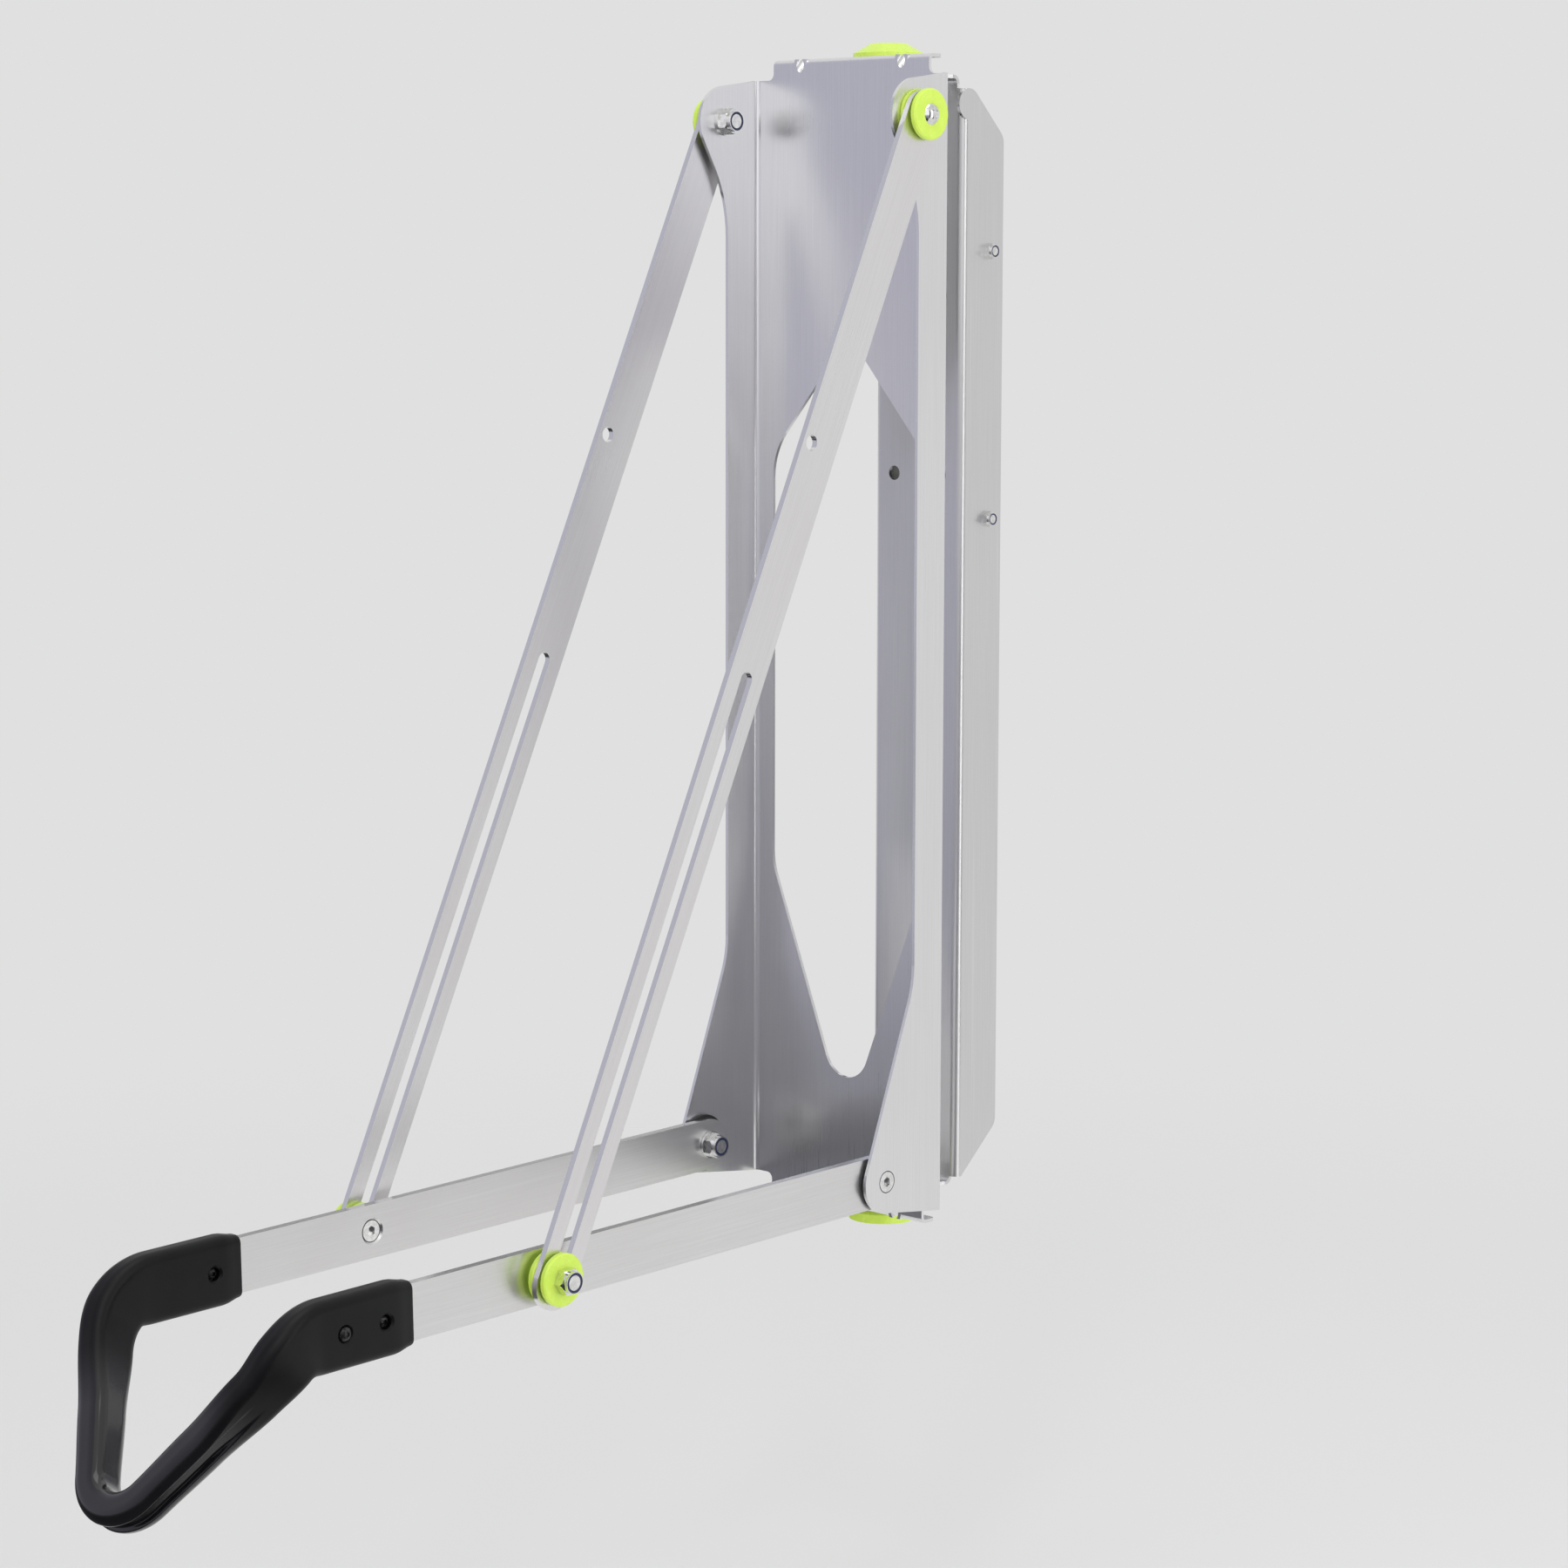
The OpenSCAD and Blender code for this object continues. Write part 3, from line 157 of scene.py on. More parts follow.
# Folded sheet: the axes across a sheet with two long folds and a lip at each
# end. Y lies across the middle, X across the sides, and all three count in
# the lips, whose pressed darts face every way.
folded_sheet, taken, given = new_group(
    "folded_sheet",
    {"Vector": ("Vector", (0, 0, 0)), "Sides from X": ("Float", 0.07), "Sides from Y": ("Float", -0.101),
     "Sides towards Y": ("Float", -1.0), "Middle Z": ("Float", -0.148), "Lips from middle": ("Float", 0.33)},
    {"Across": "Vector"})
part = add_node(folded_sheet, "SeparateXYZ", {0: taken["Vector"]}).outputs
past = calc(folded_sheet, "MULTIPLY", calc(folded_sheet, "SUBTRACT", part[1], taken["Sides from Y"]),
            taken["Sides towards Y"])
in_side = calc(folded_sheet, "GREATER_THAN", past, 0.0)
in_fold = calc(folded_sheet, "GREATER_THAN", calc(folded_sheet, "ABSOLUTE", part[0]), taken["Sides from X"])
from_middle = calc(folded_sheet, "ABSOLUTE", calc(folded_sheet, "SUBTRACT", part[2], taken["Middle Z"]))
in_lip = calc(folded_sheet, "GREATER_THAN", from_middle, taken["Lips from middle"])
across_x = calc(folded_sheet, "MAXIMUM", calc(folded_sheet, "MAXIMUM", in_side, in_fold), in_lip)
axes = add_node(folded_sheet, "CombineXYZ", {0: across_x, 1: calc(folded_sheet, "SUBTRACT", 1.0, in_side),
                                             2: in_lip}).outputs[0]
folded_sheet.links.new(axes, given["Across"])


def new_material(name):
    """Material, its node tree, its shader, and coordinates that stay with the piece."""
    material = bpy.data.materials.new(name)
    material.use_nodes = True
    tree = material.node_tree
    return material, tree, tree.nodes["Principled BSDF"], add_node(tree, "TexCoord").outputs


def feed(tree, shader, colour, roughness, height, depth, strength=0.3):
    """Joins a colour, a roughness and a relief of some depth in metres to the shader."""
    tree.links.new(colour, shader.inputs["Base Color"])
    tree.links.new(roughness, shader.inputs["Roughness"])
    bump = add_node(tree, "Bump", {"Height": height, "Distance": depth, "Strength": strength})
    tree.links.new(bump.outputs[0], shader.inputs["Normal"])


# Painted highlight: the lighter colour and tint of the cut edges; the scratches take the same tone.
SCRATCH_AND_EDGE_HIGHLIGHT_TONE, EDGE_HIGHLIGHT_TINT = 0.88, np.array((1.0, 1.0, 0.99))
WARM_TINT, WARM_SHARE, SCRATCH_SHARE = np.array((0.97, 0.94, 0.93)), 0.35, 0.25
GRAIN_ROUGHENS, CLOUDS_ROUGHEN, EDGE_SMOOTHS = 0.05, 0.05, 0.10
GRAIN_DEPTH, GRAIN_STRENGTH = 0.00003, 0.05


def satin_steel(name, tone, lines, roughness, across, turned=0.0, contrast=0.03):
    """Satin stainless: grain along one axis of the piece after a turn about X, and a painted highlight on
    the cut edges.
    across is the axis across a flat sheet, or the places of a folded sheet's folds."""
    material, tree, shader, place = new_material(name)
    shader.inputs["Metallic"].default_value = 1.0
    tone = np.array(tone)
    laid = add_node(tree, "Mapping", {"Vector": place["Object"], "Rotation": (turned, 0, 0)}).outputs[0]
    normal = add_node(tree, "Mapping", {"Vector": place["Normal"], "Rotation": (turned, 0, 0)}).outputs[0]
    grain = add_node(tree, "Group", {"Vector": laid, "Lines per metre": lines},
                     node_tree=brushed_grain).outputs
    if isinstance(across, dict):
        across = add_node(tree, "Group", {"Vector": laid, **across}, node_tree=folded_sheet).outputs[0]
    edge = add_node(tree, "Group", {"Normal": normal, "Across": across}, node_tree=cut_edge).outputs[0]
    colour = two_tone(tree, ramp(tree, grain["Grain"], *NOISE_RANGE), opaque(tone * (1 - contrast)),
                      opaque(tone * (1 + contrast)))
    colour = two_tone(tree, calc(tree, "MULTIPLY", grain["Clouds"], WARM_SHARE), colour,
                      opaque(tone * WARM_TINT))
    colour = two_tone(tree, calc(tree, "MULTIPLY", grain["Scratches"], SCRATCH_SHARE), colour,
                      opaque((SCRATCH_AND_EDGE_HIGHLIGHT_TONE,) * 3))
    # Painted highlight: the cut edges get a lighter colour that stands in for the light they catch.
    colour = two_tone(tree, edge, colour, opaque(SCRATCH_AND_EDGE_HIGHLIGHT_TONE * EDGE_HIGHLIGHT_TINT))
    rough = calc(tree, "MULTIPLY_ADD", grain["Grain"], GRAIN_ROUGHENS, roughness - GRAIN_ROUGHENS / 2)
    rough = calc(tree, "MULTIPLY_ADD", grain["Clouds"], CLOUDS_ROUGHEN, rough)
    rough = calc(tree, "MULTIPLY_ADD", edge, -EDGE_SMOOTHS, rough)
    feed(tree, shader, colour, rough, grain["Grain"], GRAIN_DEPTH, GRAIN_STRENGTH)
    return material


def dress(material, *names):
    """Puts a material in the slot of each CAD node."""
    for name in names:
        nodes[name].material_slots[0].material = material


GRAIN_UP = (1300, 1300, 16)
CHANNEL_FOLDS = {"Sides from X": 0.070, "Sides from Y": -0.101, "Sides towards Y": -1.0,
                 "Lips from middle": 0.3319}
dress(satin_steel("channel_steel", tone=(0.84, 0.84, 0.85), lines=GRAIN_UP, roughness=0.28,
                  across=CHANNEL_FOLDS), "front_channel")

# Wall bracket
# A narrower folded sheet of the same stainless. It carries the swivel at its
# two ends, and its wings run back to the wall round the wall plate.
BRACKET_FOLDS = {"Sides from X": 0.029, "Sides from Y": -0.031, "Sides towards Y": 1.0,
                 "Lips from middle": 0.3216}
# Painted shade: the bracket's tone is darker than the channel's, for its place in the channel's shadow.
dress(satin_steel("bracket_steel", tone=(0.73, 0.73, 0.735), lines=GRAIN_UP, roughness=0.30,
                  across=BRACKET_FOLDS), "wall_bracket")

# Wall plate
# A short folded sheet that is screwed to the wall. The bracket hangs on it by
# the side bolts. It is duller, as it came from the mill, and has no lips.
NO_LIPS = 1.0
PLATE_FOLDS = {"Sides from X": 0.0268, "Sides from Y": -0.005, "Sides towards Y": -1.0,
               "Lips from middle": NO_LIPS}
dress(satin_steel("plate_steel", tone=(0.76, 0.76, 0.75), lines=GRAIN_UP, roughness=0.40,
                  across=PLATE_FOLDS), "wall_plate")

# Arms
# Two flat bars of 30 by 5 mm stainless, sawn to length, rounded at the pivot
# and bolted between the channel's flanges. Their grain runs lengthwise.
ARM_DROP = math.radians(1.3)
FLAT_ACROSS_X = (1, 0, 0)
GRAIN_ALONG = (1500, 16, 1500)
dress(satin_steel("arm_steel", tone=(0.79, 0.785, 0.785), lines=GRAIN_ALONG, roughness=0.30,
                  across=FLAT_ACROSS_X, turned=-ARM_DROP, contrast=0.035), "arm_left", "arm_right")

# Struts
# Two thin flat bars with a punched locking hole and a long slot, in which the
# slot pins run. Their grain runs lengthwise too.
STRUT_LEAN = math.radians(25.03)
dress(satin_steel("strut_steel", tone=(0.84, 0.83, 0.835), lines=GRAIN_UP, roughness=0.28,
                  across=FLAT_ACROSS_X, turned=STRUT_LEAN), "strut_left", "strut_right")

# Bolts, nuts and washers
# Machine screws and lock nuts in bright stainless, pressed and turned, with a
# faint uneven sheen. Where a sunk head meets its seat a dark ring of painted
# shade stands for the shadow in the gap.
SHEEN_WAVES, SHEEN_RANGE = 420.0, (0.35, 0.65)
SHEEN_LIGHTENS, SHEEN_DARKENS, SHEEN_ROUGHENS = 1.08, 0.88, 0.14
SHEEN_DEPTH, SHEEN_STRENGTH = 0.00005, 0.2
# Painted shade: width and colour of the dark ring where sunk heads meet their seats.
SHADED_RIM_WIDTH, RIM_SHADE_COLOUR = 0.0007, (0.06, 0.06, 0.065)


def bright_steel(name, tone, roughness, sunk_heads=None):
    """Bright fastener steel with a faint mottled sheen. sunk_heads is a node whose bolts share an axis
    along X: the rim of their heads, where they meet their seats, is painted dark as the shade of the gap."""
    material, tree, shader, place = new_material(name)
    shader.inputs["Metallic"].default_value = 1.0
    tone = np.array(tone)
    sheen = noise(tree, place["Object"], SHEEN_WAVES, detail=3.0)
    colour = two_tone(tree, ramp(tree, sheen, *SHEEN_RANGE), opaque(tone * SHEEN_DARKENS),
                      opaque(np.minimum(tone * SHEEN_LIGHTENS, 1)))
    if sunk_heads:
        low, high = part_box(sunk_heads)
        head_r = (high[2] - low[2]) / 2
        spot = add_node(tree, "SeparateXYZ", {0: place["Object"]}).outputs
        off_axis = [calc(tree, "SUBTRACT", spot[k], (low[k] + high[k]) / 2) for k in (1, 2)]
        squares = [calc(tree, "MULTIPLY", part, part) for part in off_axis]
        from_axis = calc(tree, "SQRT", calc(tree, "ADD", *squares))
        # Painted shade: a dark ring at the rim of the heads stands for the shadow in the gap at their seats.
        rim = ramp(tree, from_axis, head_r - SHADED_RIM_WIDTH, head_r - SHADED_RIM_WIDTH / 2)
        colour = two_tone(tree, rim, colour, opaque(RIM_SHADE_COLOUR))
    rough = calc(tree, "MULTIPLY_ADD", sheen, SHEEN_ROUGHENS, roughness - SHEEN_ROUGHENS / 2)
    feed(tree, shader, colour, rough, sheen, SHEEN_DEPTH, SHEEN_STRENGTH)
    return material


dress(bright_steel("fastener_steel", tone=(0.80, 0.80, 0.79), roughness=0.13),
      "side_bolts", "side_nuts", "swivel_bolts", "swivel_nuts", "strut_pivot_bolts", "strut_pivot_washers",
      "strut_pivot_nuts", "arm_pivot_washers", "arm_pivot_nuts", "slide_pin_left", "slide_pin_right",
      "slide_nut_left", "slide_nut_right")
for sunk in ("arm_pivot_bolts", "slot_bolts"):
    dress(bright_steel(sunk + "_steel", tone=(0.86, 0.86, 0.85), roughness=0.20, sunk_heads=sunk), sunk)


# Nut rings
# The lock nuts grip their bolts with a ring of dark blue nylon pressed into
# the collar.
def dark_nylon(name, waves, dark, light, smoothest, roughest):
    """Plain dark nylon with small patches of another tone and gloss."""
    material, tree, shader, place = new_material(name)
    patches = noise(tree, place["Object"], waves, detail=2.0)
    feed(tree, shader, two_tone(tree, patches, opaque(dark), opaque(light)),
         ramp(tree, patches, *NOISE_RANGE, smoothest, roughest), patches, depth=0.00003)
    return material


dress(dark_nylon("ring_nylon", waves=600.0, dark=(0.012, 0.018, 0.055), light=(0.03, 0.04, 0.11),
                 smoothest=0.25, roughest=0.4), *[name for name in nodes if "nut_ring" in name])

# Arm spacers
# Plain washers of black nylon on the pivots, between the arms and the
# channel's flanges.
dress(dark_nylon("black_nylon", waves=500.0, dark=(0.012, 0.012, 0.014), light=(0.03, 0.03, 0.033),
                 smoothest=0.4, roughest=0.55), "arm_spacers")

# Green discs and caps
# Spacer discs and swivel caps of bright green plastic with a glossy skin and
# faint turning rings. They keep the steel pieces apart and show the pivots.
GREEN_LIGHT, GREEN_DEEP, GREEN_SPECK = (0.72, 0.97, 0.13), (0.68, 0.93, 0.11), (0.86, 1.0, 0.40)
MOTTLE_WAVES, SPECK_WAVES = 140.0, 900.0
SPECK_RANGE, SPECK_SHARE = (0.62, 0.72), 0.25
RING_STEP, RING_RELIEF, SPECK_RELIEF = 0.0009, 0.06, 0.5
GLOSSIEST, DULLEST = 0.20, 0.30
GLOW_SHARE, GLOW_REACHES, GLOW_DEPTH = 0.12, (0.5, 0.8, 0.2), 0.003


def green_plastic(name, axis_turn, centre):
    """Green plastic with turning rings round an axis through a centre of the piece."""
    material, tree, shader, place = new_material(name)
    laid = add_node(tree, "Mapping", {"Vector": place["Object"], "Location": centre,
                                      "Rotation": axis_turn}, vector_type="TEXTURE").outputs[0]
    spot = add_node(tree, "SeparateXYZ", {0: laid}).outputs
    radius = calc(tree, "SQRT", calc(tree, "ADD", calc(tree, "MULTIPLY", spot[0], spot[0]),
                                     calc(tree, "MULTIPLY", spot[1], spot[1])))
    rings = calc(tree, "SINE", calc(tree, "MULTIPLY", radius, 2 * math.pi / RING_STEP))
    mottle = noise(tree, laid, MOTTLE_WAVES, detail=2.0)
    specks = noise(tree, laid, SPECK_WAVES, detail=1.0)
    relief = calc(tree, "MULTIPLY_ADD", rings, RING_RELIEF, calc(tree, "MULTIPLY", specks, SPECK_RELIEF))
    body = two_tone(tree, ramp(tree, mottle, *NOISE_RANGE), opaque(GREEN_DEEP), opaque(GREEN_LIGHT))
    colour = two_tone(tree, ramp(tree, specks, *SPECK_RANGE, 0.0, SPECK_SHARE), body, opaque(GREEN_SPECK))
    rough = ramp(tree, mottle, *NOISE_RANGE, GLOSSIEST, DULLEST)
    feed(tree, shader, colour, rough, relief, depth=0.0001, strength=0.25)
    shader.inputs["Subsurface Weight"].default_value = GLOW_SHARE
    shader.inputs["Subsurface Radius"].default_value = GLOW_REACHES
    shader.inputs["Subsurface Scale"].default_value = GLOW_DEPTH
    return material


ABOUT_X, ABOUT_Z = (0, math.radians(90), 0), (0, 0, 0)
ARM_PIVOT_Y, ARM_PIVOT_Z = -0.143, -0.448
SLOT_PIN_OUT = 0.263
strut_pivot = (0, -0.123, 0.152)
slot_pin = (0, ARM_PIVOT_Y - SLOT_PIN_OUT * math.cos(ARM_DROP),
            ARM_PIVOT_Z - SLOT_PIN_OUT * math.sin(ARM_DROP))
swivel_axis = (0, -0.063, 0)
dress(green_plastic("green_strut_discs", ABOUT_X, strut_pivot), "strut_inner_discs", "strut_outer_discs")
dress(green_plastic("green_slot_discs", ABOUT_X, slot_pin), "slot_inner_discs", "slide_disc_left",
      "slide_disc_right")
dress(green_plastic("green_swivel", ABOUT_Z, swivel_axis), "swivel_discs", "swivel_caps")

# Wheel loop
# One moulding of tough black plastic over the arms' ends: a sleeve on each
# arm, a bend, and a V with a grooved outer face that cradles the tyre. The
# sleeves are satin, and the V is glossier where the mould was polished.

# Sizes are in millimetres, and places along the arms count from their pivots.
MM = 0.001
ARM_MID_X, ARM_T, ARM_H = 68.5, 5.0, 30.0
SLEEVE_AT, ARM_IN_SLEEVE, SLEEVE_TAPER, KNEE_BEYOND = 356.0, 56.0, 12.0, 18.8
BEND_AT = SLEEVE_AT + ARM_IN_SLEEVE + KNEE_BEYOND
KNEE_RUN, KNEE_PULL = 17.4, 18.6
VEE_DROP, VEE_AT, VEE_IN, VEE_LEN = math.radians(54.7), 18.4, 1.5, 127.0
VEE_RUN, VEE_PULL, TIP_R = 12.4, 20.2, 24.8

# The section at the lip, the taper's end, the knee's start, middle and end,
# the bar's middle, and the start and middle of the tip's arc
SECTION_WIDTHS = np.array([11.4, 14.4, 14.4, 17.3, 17.0, 18.6, 17.5, 17.5])
SECTION_HEIGHTS = np.array([34.0, 38.0, 38.0, 33.8, 29.9, 23.6, 21.9, 21.9])
ROUNDING_SHARE = 0.36
GROOVE_DEPTH, GROOVE_HALF, GROOVE_SHOULDER = 2.7, 3.6, 0.7
LIP_ROUND, LIP_SHARE, MOUTH_ROUND, SOCKET_FIT = 0.9, 0.6, 0.5, 0.1

# Counts of points along the loop and round its sections
TAPER_RINGS = (LIP_ROUND * 0.3, LIP_ROUND, 3.0, 6.0, 9.0)
SLEEVE_STEPS, KNEE_STEPS, BAR_STEPS, ARC_POINTS = 12, 24, 32, 21
OUTER_POINTS, INNER_POINTS, SHORT_POINTS, CORNER_POINTS = 45, 17, 9, 10
STEEPEST_IN_FACE = 0.9


def ease(share):
    """Smooth step from 0 to 1 with level ends: 3 s^2 - 2 s^3."""
    share = np.clip(share, 0, 1)
    return share * share * (3 - 2 * share)


def unit(vectors):
    """Vectors along the last axis, scaled to a length of 1."""
    return vectors / np.linalg.norm(vectors, axis=-1, keepdims=True)


def shares(count):
    """Column of equal steps from 0 up to 1, without the 1."""
    return np.linspace(0, 1, count, endpoint=False)[:, None]


def loop_path():
    """Centre line of the loop's right half in the arms' frame, and the numbers of the points at its joints.
    Straight sleeve, then a knee (1-k)^3 A + 3 (1-k)^2 k A' + 3 (1-k) k^2 B' + k^3 B, a straight bar of
    the V, and half of the tip's arc, centre + R (sin((1-t) w) u + sin(t w) v) / sin w."""
    vee = np.array([0, -math.cos(VEE_DROP), -math.sin(VEE_DROP)])
    start = np.array([ARM_MID_X, -SLEEVE_AT, 0])
    corner = np.array([ARM_MID_X, -BEND_AT, 0])
    knee_from = corner + [0, KNEE_RUN, 0]
    vee_start = corner - [VEE_IN, 0, 0] + VEE_AT * vee
    tip = np.array([0, -BEND_AT, 0]) + VEE_LEN * vee
    down = unit(tip - vee_start)
    knee_to = vee_start + VEE_RUN * down
    to_right, to_left = unit(knee_to - tip), unit(knee_to * [-1, 1, 1] - tip)
    half = math.acos(to_right @ to_left) / 2
    centre = tip + unit(to_right + to_left) * TIP_R / math.sin(half)
    arc_start = tip + to_right * TIP_R / math.tan(half)
    spoke, tip_way = unit(arc_start - centre), -unit(to_right + to_left)
    swing = math.acos(spoke @ tip_way)
    taper = np.array(TAPER_RINGS)[:, None] * [0, -1, 0]
    sleeve_end = start - [0, SLEEVE_TAPER, 0]
    sleeve = sleeve_end + shares(SLEEVE_STEPS) * (knee_from - sleeve_end)
    k = shares(KNEE_STEPS)
    knee = ((1 - k) ** 3 * knee_from + 3 * (1 - k) ** 2 * k * (knee_from - [0, KNEE_PULL, 0])
            + 3 * (1 - k) * k ** 2 * (knee_to - VEE_PULL * down) + k ** 3 * knee_to)
    bar = knee_to + shares(BAR_STEPS) * (arc_start - knee_to)
    t = np.linspace(0, 1, ARC_POINTS)[:, None]
    arc = centre + TIP_R * (np.sin((1 - t) * swing) * spoke + np.sin(t * swing) * tip_way) / math.sin(swing)
    points = np.concatenate([[start], start + taper, sleeve, knee, bar, arc])
    marks = np.cumsum([1 + len(taper), len(sleeve), len(knee), len(bar)])
    return points, marks


def ring_plan():
    """Points of a rounded rectangle, from the middle of its outer face round it: how far each one's
    corner centre lies across and up, as shares of -1 to 1, and the angle of its round."""
    quarter = math.radians(90)
    outer, inner, short = (np.linspace(-1, 1, count) for count in (OUTER_POINTS, INNER_POINTS, SHORT_POINTS))
    corner = np.linspace(0, quarter, CORNER_POINTS)[1:-1]
    sides = [(1.0, outer, 0.0), (1.0, 1.0, corner),
             (-short, 1.0, quarter), (-1.0, 1.0, quarter + corner),
             (-1.0, -inner, 2 * quarter), (-1.0, -1.0, 2 * quarter + corner),
             (short, -1.0, 3 * quarter), (1.0, -1.0, 3 * quarter + corner)]
    return [np.concatenate(part) for part in zip(*(np.broadcast_arrays(*run) for run in sides))]


def section_points(widths, heights, rounds, groove):
    """Sections as arrays of (ring, point): x = across (w/2 - r) + r cos a and z = level (h/2 - r) + r sin a,
    where the middle of the outer face sinks by the groove's depth."""
    across, level, angle = ring_plan()
    w, h, r = (np.broadcast_to(v, len(widths))[:, None] for v in (widths, heights, rounds))
    x = across * (w / 2 - r) + np.cos(angle) * r
    z = level * (h / 2 - r) + np.sin(angle) * r
    sunk = 1 - ease((np.abs(z) - GROOVE_HALF + GROOVE_SHOULDER) / (2 * GROOVE_SHOULDER))
    in_face = (across > 0) & (np.abs(np.sin(angle)) < STEEPEST_IN_FACE)
    return x - np.where(in_face, sunk, 0) * groove[:, None], z


def loop_surface():
    """Grid of the whole loop in the arms' frame, path(s) + x(s, a) outward(s) + z(s, a) rise(s): from the
    end of the right arm's socket out over the lip, along the path to the tip, and mirrored to the left.
    Gives the points and how polished each ring is."""
    path, marks = loop_path()
    run = np.concatenate([[0], np.cumsum(np.linalg.norm(np.diff(path, axis=0), axis=1))])
    knee_from, knee_to, arc_from = run[marks[1:]]
    mid_knee, mid_bar = (knee_from + knee_to) / 2, (knee_to + arc_from) / 2
    knots = np.array([0, SLEEVE_TAPER, knee_from, mid_knee, knee_to, mid_bar, arc_from, run[-1]])
    last = len(knots) - 2
    knot = np.clip(np.searchsorted(knots, run, "right") - 1, 0, last)
    share = ease((run - knots[knot]) / (knots[knot + 1] - knots[knot]))
    lip_turn = np.clip(1 - run / LIP_ROUND, 0, 1)
    drawn_in = 2 * LIP_ROUND * (1 - np.sqrt(1 - lip_turn ** 2)) * LIP_SHARE
    width, height = (sizes[knot] + (sizes[knot + 1] - sizes[knot]) * share - drawn_in
                     for sizes in (SECTION_WIDTHS, SECTION_HEIGHTS))
    bars = ease((run - knee_to) / (mid_bar - knee_to))
    x, z = section_points(width, height, np.minimum(width, height) * ROUNDING_SHARE, GROOVE_DEPTH * bars)
    along = unit(np.gradient(path, axis=0))
    along[-1] = (-1, 0, 0)
    lean = VEE_DROP * ease((run - knee_from) / (knee_to - knee_from))
    rise_way = np.stack([0 * lean, -np.sin(lean), np.cos(lean)], axis=1)
    rise_way = unit(rise_way - along * np.sum(rise_way * along, axis=1, keepdims=True))
    outward = np.cross(rise_way, along)
    rings = path[:, None] + outward[:, None] * x[..., None] + rise_way[:, None] * z[..., None]
    one = np.ones(1)
    mouth_x, mouth_z = section_points(one * (ARM_T + 2 * SOCKET_FIT), one * (ARM_H + 2 * SOCKET_FIT),
                                      one * MOUTH_ROUND, one * 0)
    mouth = path[0] + np.stack([mouth_x[0], 0 * mouth_x[0], mouth_z[0]], axis=1)
    deep = mouth - [0, ARM_IN_SLEEVE + SOCKET_FIT, 0]
    socket_end = np.broadcast_to(deep.mean(axis=0), deep.shape)
    socket = [socket_end, deep, mouth]
    half_rings = np.concatenate([socket, rings])
    polish = np.concatenate([np.zeros(len(socket)), bars])
    mirrored = (half_rings * [-1, 1, 1])[-2::-1]
    return np.concatenate([half_rings, mirrored]), np.concatenate([polish, polish[-2::-1]])


def grid_mesh(name, points, closed=True):
    """Mesh from a grid of (row, point). Each row joins the next, and a row is a ring if it is closed."""
    rows, columns = points.shape[:2]
    i, j = np.meshgrid(np.arange(rows - 1), np.arange(columns - (not closed)), indexing="ij")
    k = (j + 1) % columns
    this, after = i * columns, (i + 1) * columns
    quads = np.stack([this + j, this + k, after + k, after + j], axis=-1)
    mesh = bpy.data.meshes.new(name)
    mesh.from_pydata(points.reshape(-1, 3).tolist(), [], quads.reshape(-1, 4).tolist())
    return mesh


MERGE_WITHIN, NO_LENGTH, SHARP_FROM = 1e-6, 1e-7, math.radians(40)


def clean_mesh(mesh):
    """Merges doubles, so rings that shrink to a point are closed, turns faces outwards, and shades
    smooth except at sharp corners."""
    shape = bmesh.new()
    shape.from_mesh(mesh)
    bmesh.ops.remove_doubles(shape, verts=shape.verts, dist=MERGE_WITHIN)
    bmesh.ops.dissolve_degenerate(shape, dist=NO_LENGTH, edges=shape.edges)
    bmesh.ops.recalc_face_normals(shape, faces=shape.faces)
    shape.to_mesh(mesh)
    shape.free()
    mesh.shade_smooth()
    mesh.set_sharp_from_angle(angle=SHARP_FROM)


def to_rack(points):
    """Points in the lowered arms' frame, in millimetres, as points of the rack in metres."""
    c, s = math.cos(ARM_DROP), math.sin(ARM_DROP)
    x, y, z = np.moveaxis(np.asarray(points, float), -1, 0)
    return np.stack([x, y * c - z * s + ARM_PIVOT_Y / MM, y * s + z * c + ARM_PIVOT_Z / MM], axis=-1) * MM


SCREW_AT, SECOND_SCREW_AT = 375.0, 402.0
HOLE_R, DISH_R, DISH_DEPTH, OVERRUN, HOLE_SIDES = 3.75, 4.9, 1.1, 1.0, 48
OUTER_FACE, INNER_FACE, RIGHT, LEFT = 1, -1, 1, -1


def screw_hole(at_y, face_way, side_way):
    """Turned cutter for one screw hole, (side (mid x + face d), r cos a - at, r sin a): straight from the
    arm's face, then a cone that opens at the skin. Depths d and radii r give its profile."""
    skin = SECTION_WIDTHS[1] / 2
    inmost, outmost = ARM_T / 2 - OVERRUN, skin + OVERRUN
    depth = np.array([inmost, inmost, skin - DISH_DEPTH, skin, outmost, outmost])
    radius = np.array([0, HOLE_R, HOLE_R, DISH_R, DISH_R + OVERRUN, 0])[:, None]
    angle = np.radians(np.linspace(0, 360, HOLE_SIDES, endpoint=False))
    x = np.broadcast_to((side_way * (ARM_MID_X + face_way * depth))[:, None], (len(depth), HOLE_SIDES))
    points = np.stack([x, radius * np.cos(angle) - at_y, radius * np.sin(angle)], axis=-1)
    mesh = grid_mesh("screw_hole", to_rack(points))
    clean_mesh(mesh)
    return mesh


def cut_hole(piece, cutter_mesh):
    """Cuts one mesh out of a piece for good."""
    cutter = bpy.data.objects.new("cutter", cutter_mesh)
    bpy.context.collection.objects.link(cutter)
    cut = piece.modifiers.new("cut", "BOOLEAN")
    cut.operation, cut.solver, cut.object = "DIFFERENCE", "EXACT", cutter
    whole = piece.evaluated_get(bpy.context.evaluated_depsgraph_get())
    piece.data = bpy.data.meshes.new_from_object(whole)
    piece.modifiers.clear()
    bpy.data.objects.remove(cutter)
    bpy.data.meshes.remove(cutter_mesh)


